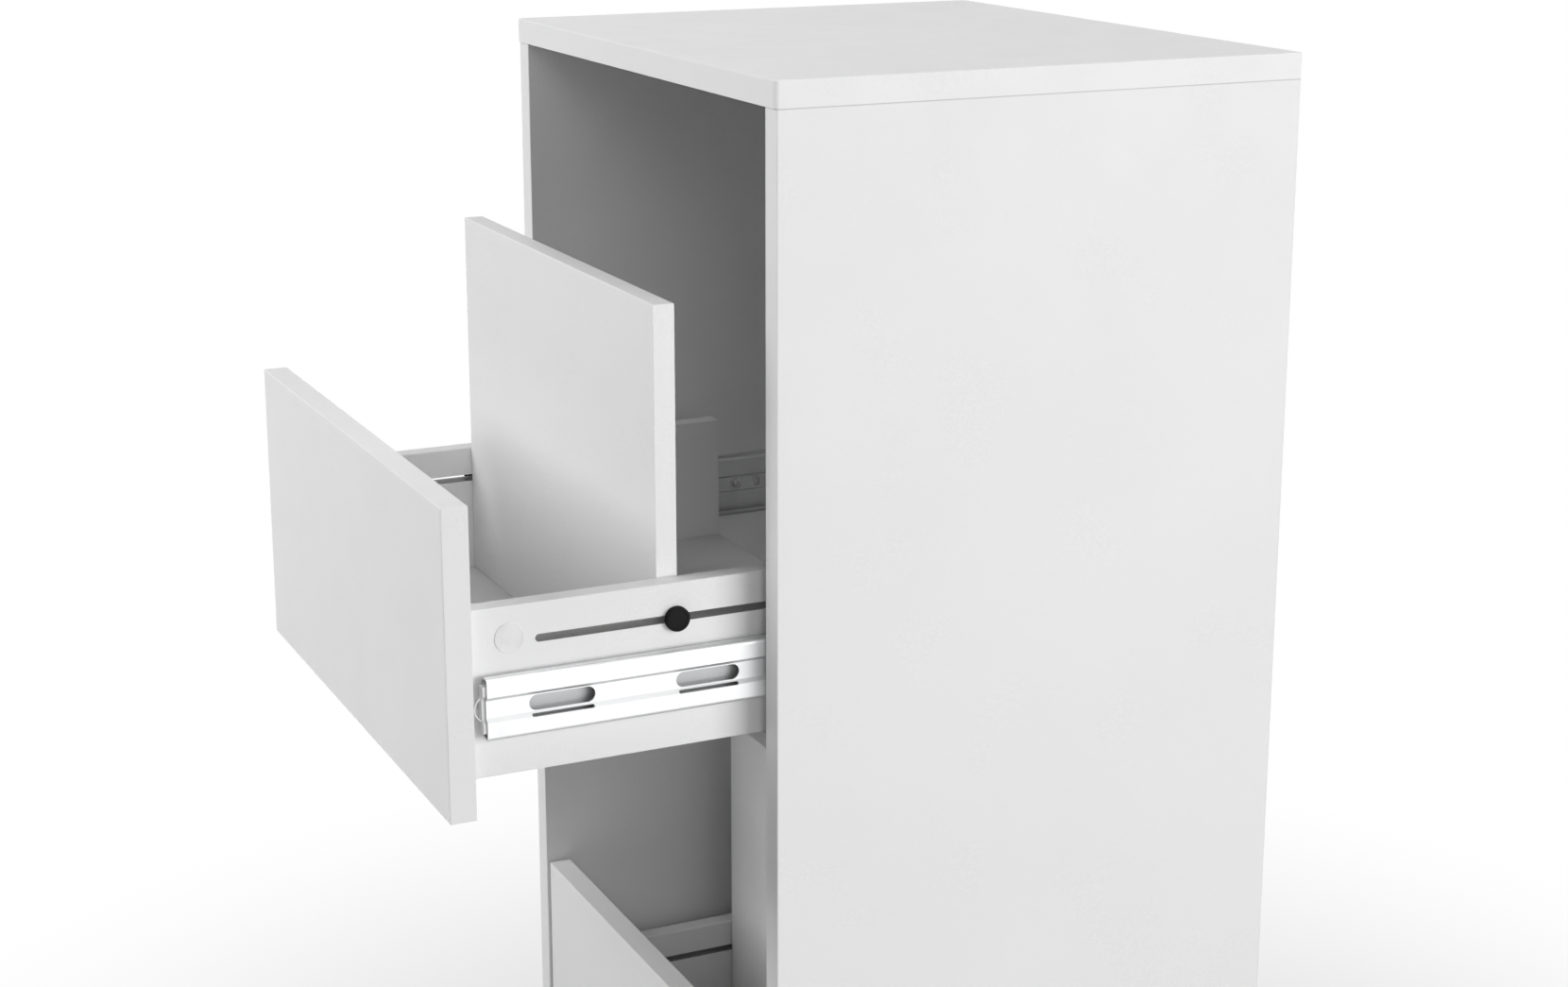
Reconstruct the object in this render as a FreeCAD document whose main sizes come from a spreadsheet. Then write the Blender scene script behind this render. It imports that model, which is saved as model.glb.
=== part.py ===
import FreeCAD, Part
import math
import os
import re
import Sketcher
from FreeCAD import Vector

# Record storage cabinet with two drawers on ball-bearing slides.
# All sizes are millimetres. X points to the right seen from the front, Y to the back and Z up.
# The origin lies on the floor under the centre of the carcass. Every piece is drawn with the drawer shut, at
# the height of the upper drawer, and its placement then pulls it out or lowers it to the second drawer.

doc = FreeCAD.newDocument("record_drawer_unit")

# Driving sizes
SIZES = [
    # Carcass
    ("cabinet_width", 420),
    ("cabinet_depth", 353),
    ("board", 16),
    ("top_overhang", 1.5),
    ("top_corner", 3),
    ("edge_round", 0.8),
    ("back_thickness", 3),
    ("back_inset", 12),
    ("groove_depth", 5),
    ("groove_play", 0.2),
    ("glide_height", 5),
    ("glide_diameter", 14),
    ("glide_inset", 30),
    ("glide_pin", 2.5),
    ("glide_pin_length", 12),
    # Drawer fronts and the openings above them
    ("front_height", 186),
    ("open_height", 210),
    ("top_opening", 211),
    ("base_gap", 3),
    ("front_gap", 3),
    ("front_recess", 1.5),
    ("upper_opening", 197),
    ("lower_opening", 0),
    # Drawer box
    ("drawer_side", 13),
    ("drawer_side_height", 100.5),
    ("drawer_side_length", 310),
    ("side_lift", 21),
    ("slide_space", 13),
    ("drawer_floor", 13),
    ("floor_lift", 1),
    ("slot_width", 4.7),
    ("slot_margin", 41),
    ("slot_drop", 21.5),
    # Divider and its clamping knobs
    ("divider_board", 13),
    ("divider_height", 248.5),
    ("divider_place", 121.5),
    ("divider_side_play", 0.7),
    ("divider_foot_play", 0.25),
    ("knob_diameter", 15),
    ("knob_height", 4),
    ("knob_bevel", 0.6),
    ("knob_play", 0.1),
    ("knob_socket", 2.5),
    ("stud_diameter", 4),
    ("stud_reach", 9),
    ("nut_diameter", 8),
    ("nut_length", 12),
    # Slides
    ("slide_length", 300),
    ("slide_height", 45.7),
    ("slide_rise", 43.8),
    ("sheet", 1.2),
    ("bend_radius", 1),
    ("race_radius", 1.8),
    ("race_depth", 0.4),
    ("ball_diameter", 3.2),
    ("lip", 0.9),
    ("cabinet_rail_depth", 7.9),
    ("cabinet_rib", 4.6),
    ("cabinet_rib_raise", 0.9),
    ("rail_gap", 0.9),
    ("rail_setback", 2.5),
    ("middle_rail_length", 294),
    ("middle_rail_depth", 9.2),
    ("middle_setback", 7.7),
    ("recess", 5.2),
    ("recess_depth", 2.3),
    ("drawer_rail_length", 294.6),
    ("drawer_rail_depth", 6.9),
    ("tongue_setback", 5.4),
    ("tongue_radius", 6.8),
    ("first_travel", 200),
    ("second_travel", 100),
    # Holes in the slides
    ("access_length", 40.3),
    ("access_height", 9.4),
    ("access_first", 45.9),
    ("access_pitch", 90.6),
    ("slit_length", 38),
    ("slit_height", 1.8),
    ("slit_drop", 6.9),
    ("adjust_width", 5.3),
    ("adjust_height", 7.6),
    ("adjust_first", 24),
    ("adjust_pitch", 128),
    ("cabinet_screw_first", 40),
    ("drawer_screw_first", 84.6),
    ("screw_pitch", 96),
    # Buffers, cages and screws of the slides
    ("buffer_length", 5),
    ("buffer_lip", 2.2),
    ("buffer_play", 0.3),
    ("buffer_half", 14),
    ("buffer_thickness", 5.7),
    ("loop_gap", 1.2),
    ("loop_radius", 8.4),
    ("loop_wall", 0.7),
    ("loop_width", 1.6),
    ("cage_sheet", 0.8),
    ("cage_play", 0.3),
    ("cage_end", 5),
    ("pocket_play", 0.1),
    ("outer_cage", 92),
    ("inner_cage", 150),
    ("screw_diameter", 3.5),
    ("screw_head", 7),
    ("screw_head_height", 1.8),
    ("screw_head_bevel", 0.8),
    ("screw_tip", 3),
    ("screw_length", 13),
    ("drawer_screw_length", 10),
    ("hole_play", 0.1),
    # Cam fittings and dowels
    ("cam_diameter", 15),
    ("cam_height", 10.5),
    ("cam_setback", 25.5),
    ("cam_drop", 19),
    ("cam_play", 0.2),
    ("cap_diameter", 18),
    ("cap_thickness", 0.5),
    ("bolt_thread", 5),
    ("bolt_thread_length", 10.5),
    ("bolt_shank", 4),
    ("bolt_head", 6),
    ("bolt_head_length", 4),
    ("bolt_bore", 7),
    ("dowel_diameter", 6),
    ("dowel_short", 8),
    ("dowel_long", 18),
    ("dowel_chamfer", 0.8),
    ("dowel_rise", 22),
    ("floor_dowel_place", 80),
    ("floor_dowel_first", 60),
    ("floor_dowel_pitch", 95),
    ("carcass_dowel", 8),
    ("carcass_dowel_short", 10),
    ("carcass_dowel_long", 24),
    ("carcass_dowel_first", 40),
    ("carcass_dowel_pitch", 91),
]

# Sizes and places that follow from the driving sizes
FORMULAS = {
    "cabinet_half": "cabinet_width/2",
    "inner_half": "cabinet_half - board",
    "front_face": "-cabinet_depth/2",
    "rear_face": "cabinet_depth/2",
    "side_height": "board + base_gap + 2*front_height + open_height + top_opening",
    "side_top": "glide_height + side_height",
    "base_top": "glide_height + board",
    "pitch": "front_height + open_height",
    "back_rear": "rear_face - back_inset",
    "back_front": "back_rear - back_thickness",
    "groove_front": "back_front - groove_play",
    "groove_rear": "back_rear + groove_play",
    "groove_half": "inner_half + groove_depth",
    "front_half": "inner_half - front_gap",
    "front_bottom": "side_top - top_opening - front_height",
    "front_inner": "front_face + front_recess + board",
    "drawer_half": "inner_half - slide_space",
    "drawer_inner_half": "drawer_half - drawer_side",
    "drawer_bottom": "front_bottom + side_lift",
    "drawer_rear": "front_inner + drawer_side_length",
    "floor_bottom": "drawer_bottom + floor_lift",
    "floor_top": "floor_bottom + drawer_floor",
    "slot_axis": "drawer_bottom + drawer_side_height - slot_drop",
    "divider_half": "drawer_inner_half - divider_side_play",
    "divider_front": "front_inner + divider_place",
    "divider_middle": "divider_front + divider_board/2",
    "divider_bottom": "floor_top + divider_foot_play",
    "nut_end": "divider_half - nut_length",
    "slide_axis": "drawer_bottom + slide_rise",
    "outer_ball_in": "cabinet_rail_depth - sheet - race_radius",
    "outer_ball_up": "slide_height/2 - sheet - race_radius",
    "middle_back": "sheet + rail_gap",
    "middle_half": "outer_ball_up - race_radius + race_depth",
    "middle_face": "middle_back + middle_rail_depth",
    "inner_ball_in": "middle_face - sheet - race_radius",
    "inner_ball_up": "middle_half - sheet - race_radius",
    "drawer_rail_half": "inner_ball_up - race_radius + race_depth",
    "web_face": "slide_space - sheet",
    "rib_lean": "sheet*tan(22.5 deg)",
    "cabinet_rail_front": "front_inner + rail_setback",
    "middle_rail_front": "front_inner + middle_setback",
    "tongue_tip": "front_inner + tongue_setback",
    "buffer_front": "middle_rail_front - buffer_lip",
    "buffer_rear": "middle_rail_front + buffer_length",
    "loop_centre": "front_inner + loop_gap + loop_radius",
    "drawer_rail_front": "buffer_rear + buffer_play",
    "drawer_rail_rear": "tongue_tip + drawer_rail_length",
    "outer_overlap": "middle_setback + middle_rail_length - first_travel - rail_setback",
    "outer_cage_front": "cabinet_rail_front + (outer_overlap - outer_cage)/2 + first_travel/2",
    "inner_overlap": "drawer_rail_rear - second_travel - middle_rail_front",
    "inner_cage_front": "middle_rail_front + (inner_overlap - inner_cage)/2 + second_travel/2",
    "cabinet_screw_front": "cabinet_rail_front + cabinet_screw_first",
    "drawer_screw_front": "tongue_tip + drawer_screw_first",
    "cam_axis": "drawer_bottom + drawer_side_height - cam_drop",
    "cam_place": "front_inner + cam_setback",
    "bolt_place": "drawer_half - drawer_side/2",
    "dowel_axis": "drawer_bottom + dowel_rise",
    "floor_axis": "floor_bottom + drawer_floor/2",
    "base_axis": "glide_height + board/2",
    "panel_axis": "cabinet_half - board/2",
}

# Counts
SCREWS_PER_RAIL = 3
ACCESS_SLOTS = 3
ADJUST_SLOTS = 3
BALLS_PER_ROW = 3
FLOOR_DOWELS = 3
CARCASS_DOWELS = 4

# A point closer than this to a coordinate lies on it
TOUCH = 0.001

CELLS = [name for name, value in SIZES]
table = doc.addObject("Spreadsheet::Sheet", "Sizes")
for line, (name, value) in enumerate(SIZES, start=1):
    table.set(f"A{line}", name)
    table.set(f"B{line}", str(value))
    table.setAlias(f"B{line}", name)
doc.recompute()

nodes = []
cuts = []


# Formulas

def expression(text):
    """Turn a formula of size names into an expression that reads the table."""
    def swap(match):
        word = match.group(0)
        if word in FORMULAS:
            return f"({expression(FORMULAS[word])})"
        return f"Sizes.{word}" if word in CELLS else word
    return re.sub(r"[a-z_]+", swap, text)


def number(text):
    """Give the present value of a formula."""
    return float(table.evalExpression(expression(text)))


def evenly(first, pitch, count):
    """Give the formulas of evenly spaced places."""
    return [f"{first} + {i}*{pitch}" for i in range(count)]


# Sketches

def new_body(name):
    """Start one piece."""
    body = doc.addObject("PartDesign::Body", name)
    body.Label = name
    return body


def origin_part(body, role):
    """Find a plane or an axis of the piece's own origin."""
    return next(part for part in body.Origin.OriginFeatures if part.Role == role)


def new_sketch(body, name, role, level="0", across="0", along="0"):
    """Lay a sketch on a plane of the origin, moved to a level square to it and shifted in its own plane."""
    sketch = body.newObject("Sketcher::SketchObject", f"{body.Name}_{name}")
    sketch.AttachmentSupport = (origin_part(body, role), "")
    sketch.MapMode = "FlatFace"
    lift = f"-({level})" if role == "XZ_Plane" else level
    for axis, formula in zip("xyz", (across, along, lift)):
        sketch.setExpression(f"AttachmentOffset.Base.{axis}", expression(formula))
    return sketch


def bind(sketch, constraint, formula):
    """Add a dimension to a sketch and tie it to a formula."""
    index = sketch.addConstraint(Sketcher.Constraint(*constraint, number(formula)))
    sketch.setExpression(f"Constraints[{index}]", expression(formula))


def pin_point(sketch, edge, end, x, y):
    """Hold one point of an edge at formulas measured from the sketch's origin."""
    bind(sketch, ("DistanceX", -1, 1, edge, end), x)
    bind(sketch, ("DistanceY", -1, 1, edge, end), y)


def draw_outline(sketch, points):
    """Draw a closed outline through points given as pairs of formulas."""
    corners = [Vector(number(x), number(y), 0) for x, y in points]
    first = sketch.GeometryCount
    count = len(corners)
    for i in range(count):
        sketch.addGeometry(Part.LineSegment(corners[i], corners[(i + 1) % count]), False)
    for i in range(count):
        sketch.addConstraint(Sketcher.Constraint("Coincident", first + i, 2, first + (i + 1) % count, 1))
    for i, (x, y) in enumerate(points):
        pin_point(sketch, first + i, 1, x, y)


def draw_rectangle(sketch, x1, y1, x2, y2):
    """Draw a rectangle between two opposite corners."""
    draw_outline(sketch, [(x1, y1), (x2, y1), (x2, y2), (x1, y2)])


def draw_circle(sketch, x, y, diameter):
    """Draw a circle."""
    centre = Vector(number(x), number(y), 0)
    edge = sketch.addGeometry(Part.Circle(centre, Vector(0, 0, 1), number(diameter) / 2), False)
    pin_point(sketch, edge, 3, x, y)
    bind(sketch, ("Diameter", edge), diameter)


def draw_slot(sketch, x, y, length, width, upright=False):
    """Draw a slot with round ends, lying along the sketch's X or standing along its Y."""
    reach = f"(({length}) - ({width}))/2"
    turn = math.pi / 2 if upright else 0
    arcs = []
    for sign, start in (("+", turn - math.pi / 2), ("-", turn + math.pi / 2)):
        end_x = x if upright else f"{x} {sign} {reach}"
        end_y = f"{y} {sign} {reach}" if upright else y
        circle = Part.Circle(Vector(number(end_x), number(end_y), 0), Vector(0, 0, 1), number(width) / 2)
        arcs.append(sketch.addGeometry(Part.ArcOfCircle(circle, start, start + math.pi), False))
        pin_point(sketch, arcs[-1], 3, end_x, end_y)
        bind(sketch, ("Radius", arcs[-1]), f"({width})/2")
    for before, after in (arcs, arcs[::-1]):
        side = Part.LineSegment(sketch.Geometry[before].EndPoint, sketch.Geometry[after].StartPoint)
        line = sketch.addGeometry(side, False)
        sketch.addConstraint(Sketcher.Constraint("Tangent", before, 2, line, 1))
        sketch.addConstraint(Sketcher.Constraint("Tangent", line, 2, after, 1))


# Features

def add_feature(kind, sketch):
    """Add a feature that works on a sketch to the sketch's own body."""
    body = sketch.getParentGeoFeatureGroup()
    feature = body.newObject(f"PartDesign::{kind}", f"{sketch.Name}_{kind.lower()}")
    feature.Profile = sketch
    return feature


def looks_back(sketch):
    """Tell whether a sketch's normal points down its axis, as on the XZ plane."""
    return sketch.AttachmentSupport[0][0].Role == "XZ_Plane"


def pad(sketch, length):
    """Raise a sketch by a length along +X, +Y or +Z."""
    feature = add_feature("Pad", sketch)
    feature.setExpression("Length", expression(length))
    feature.Reversed = looks_back(sketch)
    return feature


def cut(sketch, depth=None, up=False):
    """Cut a sketch down or up its axis, right through where no depth is given."""
    feature = add_feature("Pocket", sketch)
    if depth is None:
        feature.Type = "ThroughAll"
    else:
        feature.setExpression("Length", expression(depth))
    feature.Reversed = up != looks_back(sketch)
    cuts.append(feature)
    return feature


def revolve(sketch):
    """Turn a sketch once round its own horizontal axis."""
    feature = add_feature("Revolution", sketch)
    feature.ReferenceAxis = (sketch, ["H_Axis"])
    feature.Angle = 360
    return feature


def repeat(features, role, length, count):
    """Repeat features evenly along an axis of the origin."""
    body = features[0].getParentGeoFeatureGroup()
    pattern = body.newObject("PartDesign::LinearPattern", f"{features[0].Name}_row")
    pattern.Originals = features
    pattern.Direction = (origin_part(body, role), [""])
    pattern.setExpression("Length", expression(length))
    pattern.Occurrences = count
    body.Tip = pattern


def at(**levels):
    """Make a test for points that lie at the given formulas along the named axes."""
    places = {axis: number(formula) for axis, formula in levels.items()}
    return lambda point: all(abs(getattr(point, axis) - place) < TOUCH for axis, place in places.items())


def dress(body, kind, measure, size, tests):
    """Round or bevel the edges whose ends all pass one of the tests."""
    doc.recompute()
    base = body.Tip
    edges = [f"Edge{i}" for i, edge in enumerate(base.Shape.Edges, start=1)
             if any(all(test(end.Point) for end in edge.Vertexes) for test in tests)]
    if not edges:
        raise RuntimeError(f"{body.Label}: no edge to dress with {size}")
    dressing = body.newObject(f"PartDesign::{kind}", f"{base.Name}_{kind.lower()}")
    dressing.Base = (base, edges)
    dressing.setExpression(measure, expression(size))


def round_edges(body, radius, *tests):
    """Round the edges that pass one of the tests."""
    dress(body, "Fillet", "Radius", radius, tests)


def bevel_edges(body, size, *tests):
    """Bevel the edges that pass one of the tests."""
    dress(body, "Chamfer", "Size", size, tests)


# Parts of pieces

def new_board(name, role, level, corners, thickness):
    """Start a board from two corners of its face."""
    body = new_body(name)
    outline = new_sketch(body, "outline", role, level)
    draw_rectangle(outline, *corners)
    pad(outline, thickness)
    return body


def cut_groove(body, role, level, corners, up=False):
    """Cut the groove that holds the back panel."""
    outline = new_sketch(body, "groove", role, level)
    draw_rectangle(outline, *corners)
    cut(outline, "groove_depth", up)


def drill(body, name, role, level, places, diameter, depth=None, up=False):
    """Drill holes of one size at several places of a plane."""
    sketch = new_sketch(body, name, role, level)
    for x, y in places:
        draw_circle(sketch, x, y, diameter)
    cut(sketch, depth, up)


def drill_ends(body, name, half, places, diameter, depth):
    """Drill the same holes into the right and the left end of a board."""
    drill(body, f"right_{name}", "YZ_Plane", half, places, diameter, depth)
    drill(body, f"left_{name}", "YZ_Plane", f"-({half})", places, diameter, depth, up=True)


def add_rods(body, name, role, level, places, diameter, length):
    """Raise round rods of one size at several places of a plane."""
    sketch = new_sketch(body, name, role, level)
    for x, y in places:
        draw_circle(sketch, x, y, diameter)
    return pad(sketch, length)


def add_dowels(body, name, role, level, places, diameter, length):
    """Raise dowels with bevelled ends."""
    add_rods(body, name, role, level, places, diameter, length)
    axis = {"XY_Plane": "z", "XZ_Plane": "y", "YZ_Plane": "x"}[role]
    bevel_edges(body, "dowel_chamfer", at(**{axis: level}), at(**{axis: f"{level} + {length}"}))


def mirror(piece, name):
    """Make the left-hand copy of a right-hand piece."""
    copy = doc.addObject("Part::Mirroring", name)
    copy.Label = name
    copy.Source = piece
    copy.Normal = Vector(1, 0, 0)
    return copy


def place(piece, pulled_out, lowered):
    """Pull a piece out towards the front and lower it to its drawer."""
    piece.setExpression("Placement.Base.y", expression(f"-({pulled_out})"))
    piece.setExpression("Placement.Base.z", expression(f"-({lowered})"))


def list_both_sides(piece):
    """List a right-hand piece and its left-hand copy as two nodes."""
    nodes.append(piece)
    nodes.append(mirror(piece, piece.Label.replace("right", "left")))


def list_pair(piece):
    """List right-hand pieces and their left-hand copies together as one node."""
    pair = doc.addObject("Part::Compound", piece.Label.replace("right_", ""))
    pair.Label = pair.Name
    pair.Links = [piece, mirror(piece, piece.Label.replace("right", "left"))]
    nodes.append(pair)


# Carcass

UPRIGHT_DOWELS = [("panel_axis", y) for y in evenly("front_face + carcass_dowel_first",
                                                     "carcass_dowel_pitch", CARCASS_DOWELS)]
LEVEL_DOWELS = [(y, "base_axis") for x, y in UPRIGHT_DOWELS]
GLIDES = [("panel_axis", "front_face + glide_inset"), ("panel_axis", "rear_face - glide_inset")]
DOWEL_BORE = "carcass_dowel + 2*hole_play"
SHORT_BORE = "carcass_dowel_short + hole_play"
LONG_BORE = "carcass_dowel_long + hole_play"
SCREW_BORE = "screw_diameter + 2*hole_play"


def make_top_panel():
    """Board that lies over both side panels."""
    front = "front_face - top_overhang"
    body = new_board("top_panel", "XY_Plane", "side_top",
                     ("-cabinet_half", front, "cabinet_half", "rear_face"), "board")
    round_edges(body, "top_corner", at(x="cabinet_half", y=front), at(x="-cabinet_half", y=front))
    round_edges(body, "edge_round", at(z="side_top + board"))
    cut_groove(body, "XY_Plane", "side_top", ("-groove_half", "groove_front", "groove_half", "groove_rear"),
               up=True)
    places = UPRIGHT_DOWELS + [(f"-({x})", y) for x, y in UPRIGHT_DOWELS]
    drill(body, "dowel_holes", "XY_Plane", "side_top", places, DOWEL_BORE, SHORT_BORE, up=True)
    nodes.append(body)


def make_side_panels():
    """Side panels with the holes for dowels, glides and the screws of the slides."""
    body = new_board("right_side_panel", "YZ_Plane", "inner_half",
                     ("front_face", "glide_height", "rear_face", "side_top"), "board")
    round_edges(body, "edge_round", at(x="inner_half", y="front_face"), at(x="cabinet_half", y="front_face"))
    cut_groove(body, "YZ_Plane", "inner_half", ("groove_front", "glide_height", "groove_rear", "side_top"),
               up=True)
    drill(body, "upright_dowel_holes", "XY_Plane", "side_top", UPRIGHT_DOWELS, DOWEL_BORE, LONG_BORE)
    drill(body, "level_dowel_holes", "YZ_Plane", "inner_half", LEVEL_DOWELS, DOWEL_BORE, SHORT_BORE, up=True)
    drill(body, "glide_holes", "XY_Plane", "glide_height", GLIDES, "glide_pin + 2*hole_play",
          "glide_pin_length + hole_play", up=True)
    screws = evenly("cabinet_screw_front", "screw_pitch", SCREWS_PER_RAIL)
    places = [(y, axis) for y in screws for axis in ("slide_axis", "slide_axis - pitch")]
    drill(body, "screw_holes", "YZ_Plane", "inner_half", places, SCREW_BORE,
          "screw_length - cabinet_rib_raise - sheet + hole_play", up=True)
    list_both_sides(body)


def make_base_panel():
    """Board between the side panels, under the lower drawer."""
    body = new_board("base_panel", "XY_Plane", "glide_height",
                     ("-inner_half", "front_face + front_recess", "inner_half", "rear_face"), "board")
    cut_groove(body, "XY_Plane", "base_top", ("-inner_half", "groove_front", "inner_half", "groove_rear"))
    drill_ends(body, "dowel_holes", "inner_half", LEVEL_DOWELS, DOWEL_BORE, LONG_BORE)
    nodes.append(body)


def make_back_panel():
    """Thin board held in grooves all round."""
    edge = "groove_half - groove_play"
    body = new_board("back_panel", "XZ_Plane", "back_front",
                     (f"-({edge})", "base_top - groove_depth + groove_play",
                      edge, "side_top + groove_depth - groove_play"), "back_thickness")
    nodes.append(body)


def make_carcass_dowels():
    """Glued dowels that join the top and the base to the side panels."""
    body = new_body("right_carcass_dowels")
    length = "carcass_dowel_long + carcass_dowel_short"
    add_dowels(body, "upright", "XY_Plane", "side_top - carcass_dowel_long", UPRIGHT_DOWELS,
               "carcass_dowel", length)
    add_dowels(body, "level", "YZ_Plane", "inner_half - carcass_dowel_long", LEVEL_DOWELS,
               "carcass_dowel", length)
    list_pair(body)


def make_glides():
    """Plastic glides with a pin, pressed into the side panels from below."""
    body = new_body("right_glides")
    add_rods(body, "feet", "XY_Plane", "0", GLIDES, "glide_diameter", "glide_height")
    bevel_edges(body, "edge_round", at(z="0"))
    add_rods(body, "pins", "XY_Plane", "glide_height", GLIDES, "glide_pin", "glide_pin_length")
    list_pair(body)


# Slides
# Their sections are given by the distance from the side panel and the rise from the slide's middle line.

def slide_sketch(body, name, front):
    """Lay a sketch across a slide, with its origin on the side panel at the slide's middle line."""
    return new_sketch(body, name, "XZ_Plane", front, "inner_half", "slide_axis")


def draw_section(sketch, upper_half):
    """Draw a section that is the same above and below the slide's middle line."""
    above = [(f"-({away})", rise) for away, rise in upper_half]
    below = [(f"-({away})", f"-({rise})") for away, rise in reversed(upper_half)]
    draw_outline(sketch, above + below)


def bends(away, rise):
    """Make the tests for the two edges of a slide at a distance and a rise, above and below."""
    return [at(x=f"inner_half - ({away})", z=f"slide_axis {sign} ({rise})") for sign in "+-"]


def roll_channel(body, front, length, back, depth, half, rib, raised):
    """Roll a channel: a web with a raised band along its middle, two flanges and lips that curl round the balls."""
    face = f"{back} + {depth}"
    lip_end = f"{half} - sheet - race_radius - lip"
    section = slide_sketch(body, "section", front)
    draw_section(section, [
        (f"{back} + {raised}", rib),
        (back, f"{rib} + {raised}"),
        (back, half),
        (face, half),
        (face, lip_end),
        (f"{face} - sheet", lip_end),
        (f"{face} - sheet", f"{half} - sheet"),
        (f"{back} + sheet", f"{half} - sheet"),
        (f"{back} + sheet", f"{rib} + {raised} + rib_lean"),
        (f"{back} + {raised} + sheet", f"{rib} + rib_lean"),
    ])
    pad(section, length)
    round_edges(body, "bend_radius", *bends(f"{back} + sheet", f"{half} - sheet"))
    round_edges(body, "bend_radius + sheet", *bends(back, half))
    round_edges(body, "race_radius", *bends(f"{face} - sheet", f"{half} - sheet"))
    round_edges(body, "race_radius + sheet", *bends(face, half))


def roll_races(body, front, away, rise):
    """Press the shallow ball races along the outside of both flanges."""
    races = slide_sketch(body, "races", front)
    for side in ("", "-"):
        draw_circle(races, f"-({away})", f"{side}{rise}", "2*race_radius")
    cut(races, up=True)


def make_cabinet_rail(level):
    """Outer member of a slide, screwed to the side panel."""
    body = new_body(f"{level}_right_cabinet_rail")
    roll_channel(body, "cabinet_rail_front", "slide_length", "0", "cabinet_rail_depth", "slide_height/2",
                 "cabinet_rib", "cabinet_rib_raise")
    screws = evenly("cabinet_screw_front", "screw_pitch", SCREWS_PER_RAIL)
    drill(body, "screw_holes", "YZ_Plane", "inner_half", [(y, "slide_axis") for y in screws], SCREW_BORE)
    slots = new_sketch(body, "adjust_slots", "YZ_Plane", "inner_half")
    for y in evenly("cabinet_rail_front + adjust_first", "adjust_pitch", ADJUST_SLOTS):
        draw_slot(slots, y, "slide_axis", "adjust_height", "adjust_width", upright=True)
    cut(slots)
    return body


def make_middle_rail(level):
    """Middle member of a slide, with long holes that reach the screws behind it and a slit below each."""
    body = new_body(f"{level}_right_middle_rail")
    roll_channel(body, "middle_rail_front", "middle_rail_length", "middle_back", "middle_rail_depth",
                 "middle_half", "recess", "recess_depth")
    roll_races(body, "middle_rail_front", "outer_ball_in", "outer_ball_up")
    holes = new_sketch(body, "access_slots", "YZ_Plane", "inner_half")
    for y in evenly("middle_rail_front + access_first", "access_pitch", ACCESS_SLOTS):
        draw_slot(holes, y, "slide_axis", "access_length", "access_height")
        draw_slot(holes, y, "slide_axis - slit_drop", "slit_length", "slit_height")
    cut(holes)
    return body


def make_drawer_rail(level):
    """Inner member of a slide, a channel that opens towards the side panel and ends in a round tongue."""
    body = new_body(f"{level}_right_drawer_rail")
    mouth = "slide_space - drawer_rail_depth"
    section = slide_sketch(body, "section", "drawer_rail_front")
    draw_section(section, [
        ("slide_space", "drawer_rail_half"),
        (mouth, "drawer_rail_half"),
        (mouth, "drawer_rail_half - sheet"),
        ("web_face", "drawer_rail_half - sheet"),
    ])
    pad(section, "drawer_rail_rear - drawer_rail_front")
    round_edges(body, "bend_radius", *bends("web_face", "drawer_rail_half - sheet"))
    round_edges(body, "bend_radius + sheet", *bends("slide_space", "drawer_rail_half"))
    roll_races(body, "drawer_rail_front", "inner_ball_in", "inner_ball_up")
    tongue = new_sketch(body, "tongue", "YZ_Plane", "drawer_half")
    length = "drawer_rail_front - tongue_tip + 2*tongue_radius"
    draw_slot(tongue, f"tongue_tip + ({length})/2", "slide_axis", length, "2*tongue_radius")
    pad(tongue, "sheet")
    screws = evenly("drawer_screw_front", "screw_pitch", SCREWS_PER_RAIL)
    drill(body, "screw_holes", "YZ_Plane", "drawer_half", [(y, "slide_axis") for y in screws], SCREW_BORE,
          "sheet", up=True)
    return body


def make_rail_buffer(level):
    """Soft plastic stop that fills the hollow of the middle rail's front end, with a thin springy loop ahead."""
    body = new_body(f"{level}_right_rail_buffers")
    crown = "middle_back + recess_depth + sheet + buffer_play"
    foot = "middle_back + sheet + buffer_play"
    face = f"{foot} + buffer_thickness"
    crown_half = "recess + rib_lean + buffer_play"
    foot_half = f"{crown_half} + recess_depth"
    loop_level = f"inner_half - ({crown}) - loop_width"
    loop = new_sketch(body, "loop", "YZ_Plane", loop_level)
    for inset in ("0", "loop_wall"):
        draw_circle(loop, "loop_centre", "slide_axis", f"2*(loop_radius - {inset})")
    pad(loop, "loop_width")
    rear = new_sketch(body, "loop_rear", "YZ_Plane", loop_level)
    draw_rectangle(rear, "buffer_front", "slide_axis - 2*loop_radius",
                   "loop_centre + 2*loop_radius", "slide_axis + 2*loop_radius")
    cut(rear, "loop_width", up=True)
    section = slide_sketch(body, "section", "buffer_front")
    draw_section(section, [
        (crown, crown_half),
        (foot, foot_half),
        (foot, "buffer_half"),
        (face, "buffer_half"),
        (face, foot_half),
        ("web_face", crown_half),
    ])
    pad(section, "buffer_rear - buffer_front")
    return body


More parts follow.
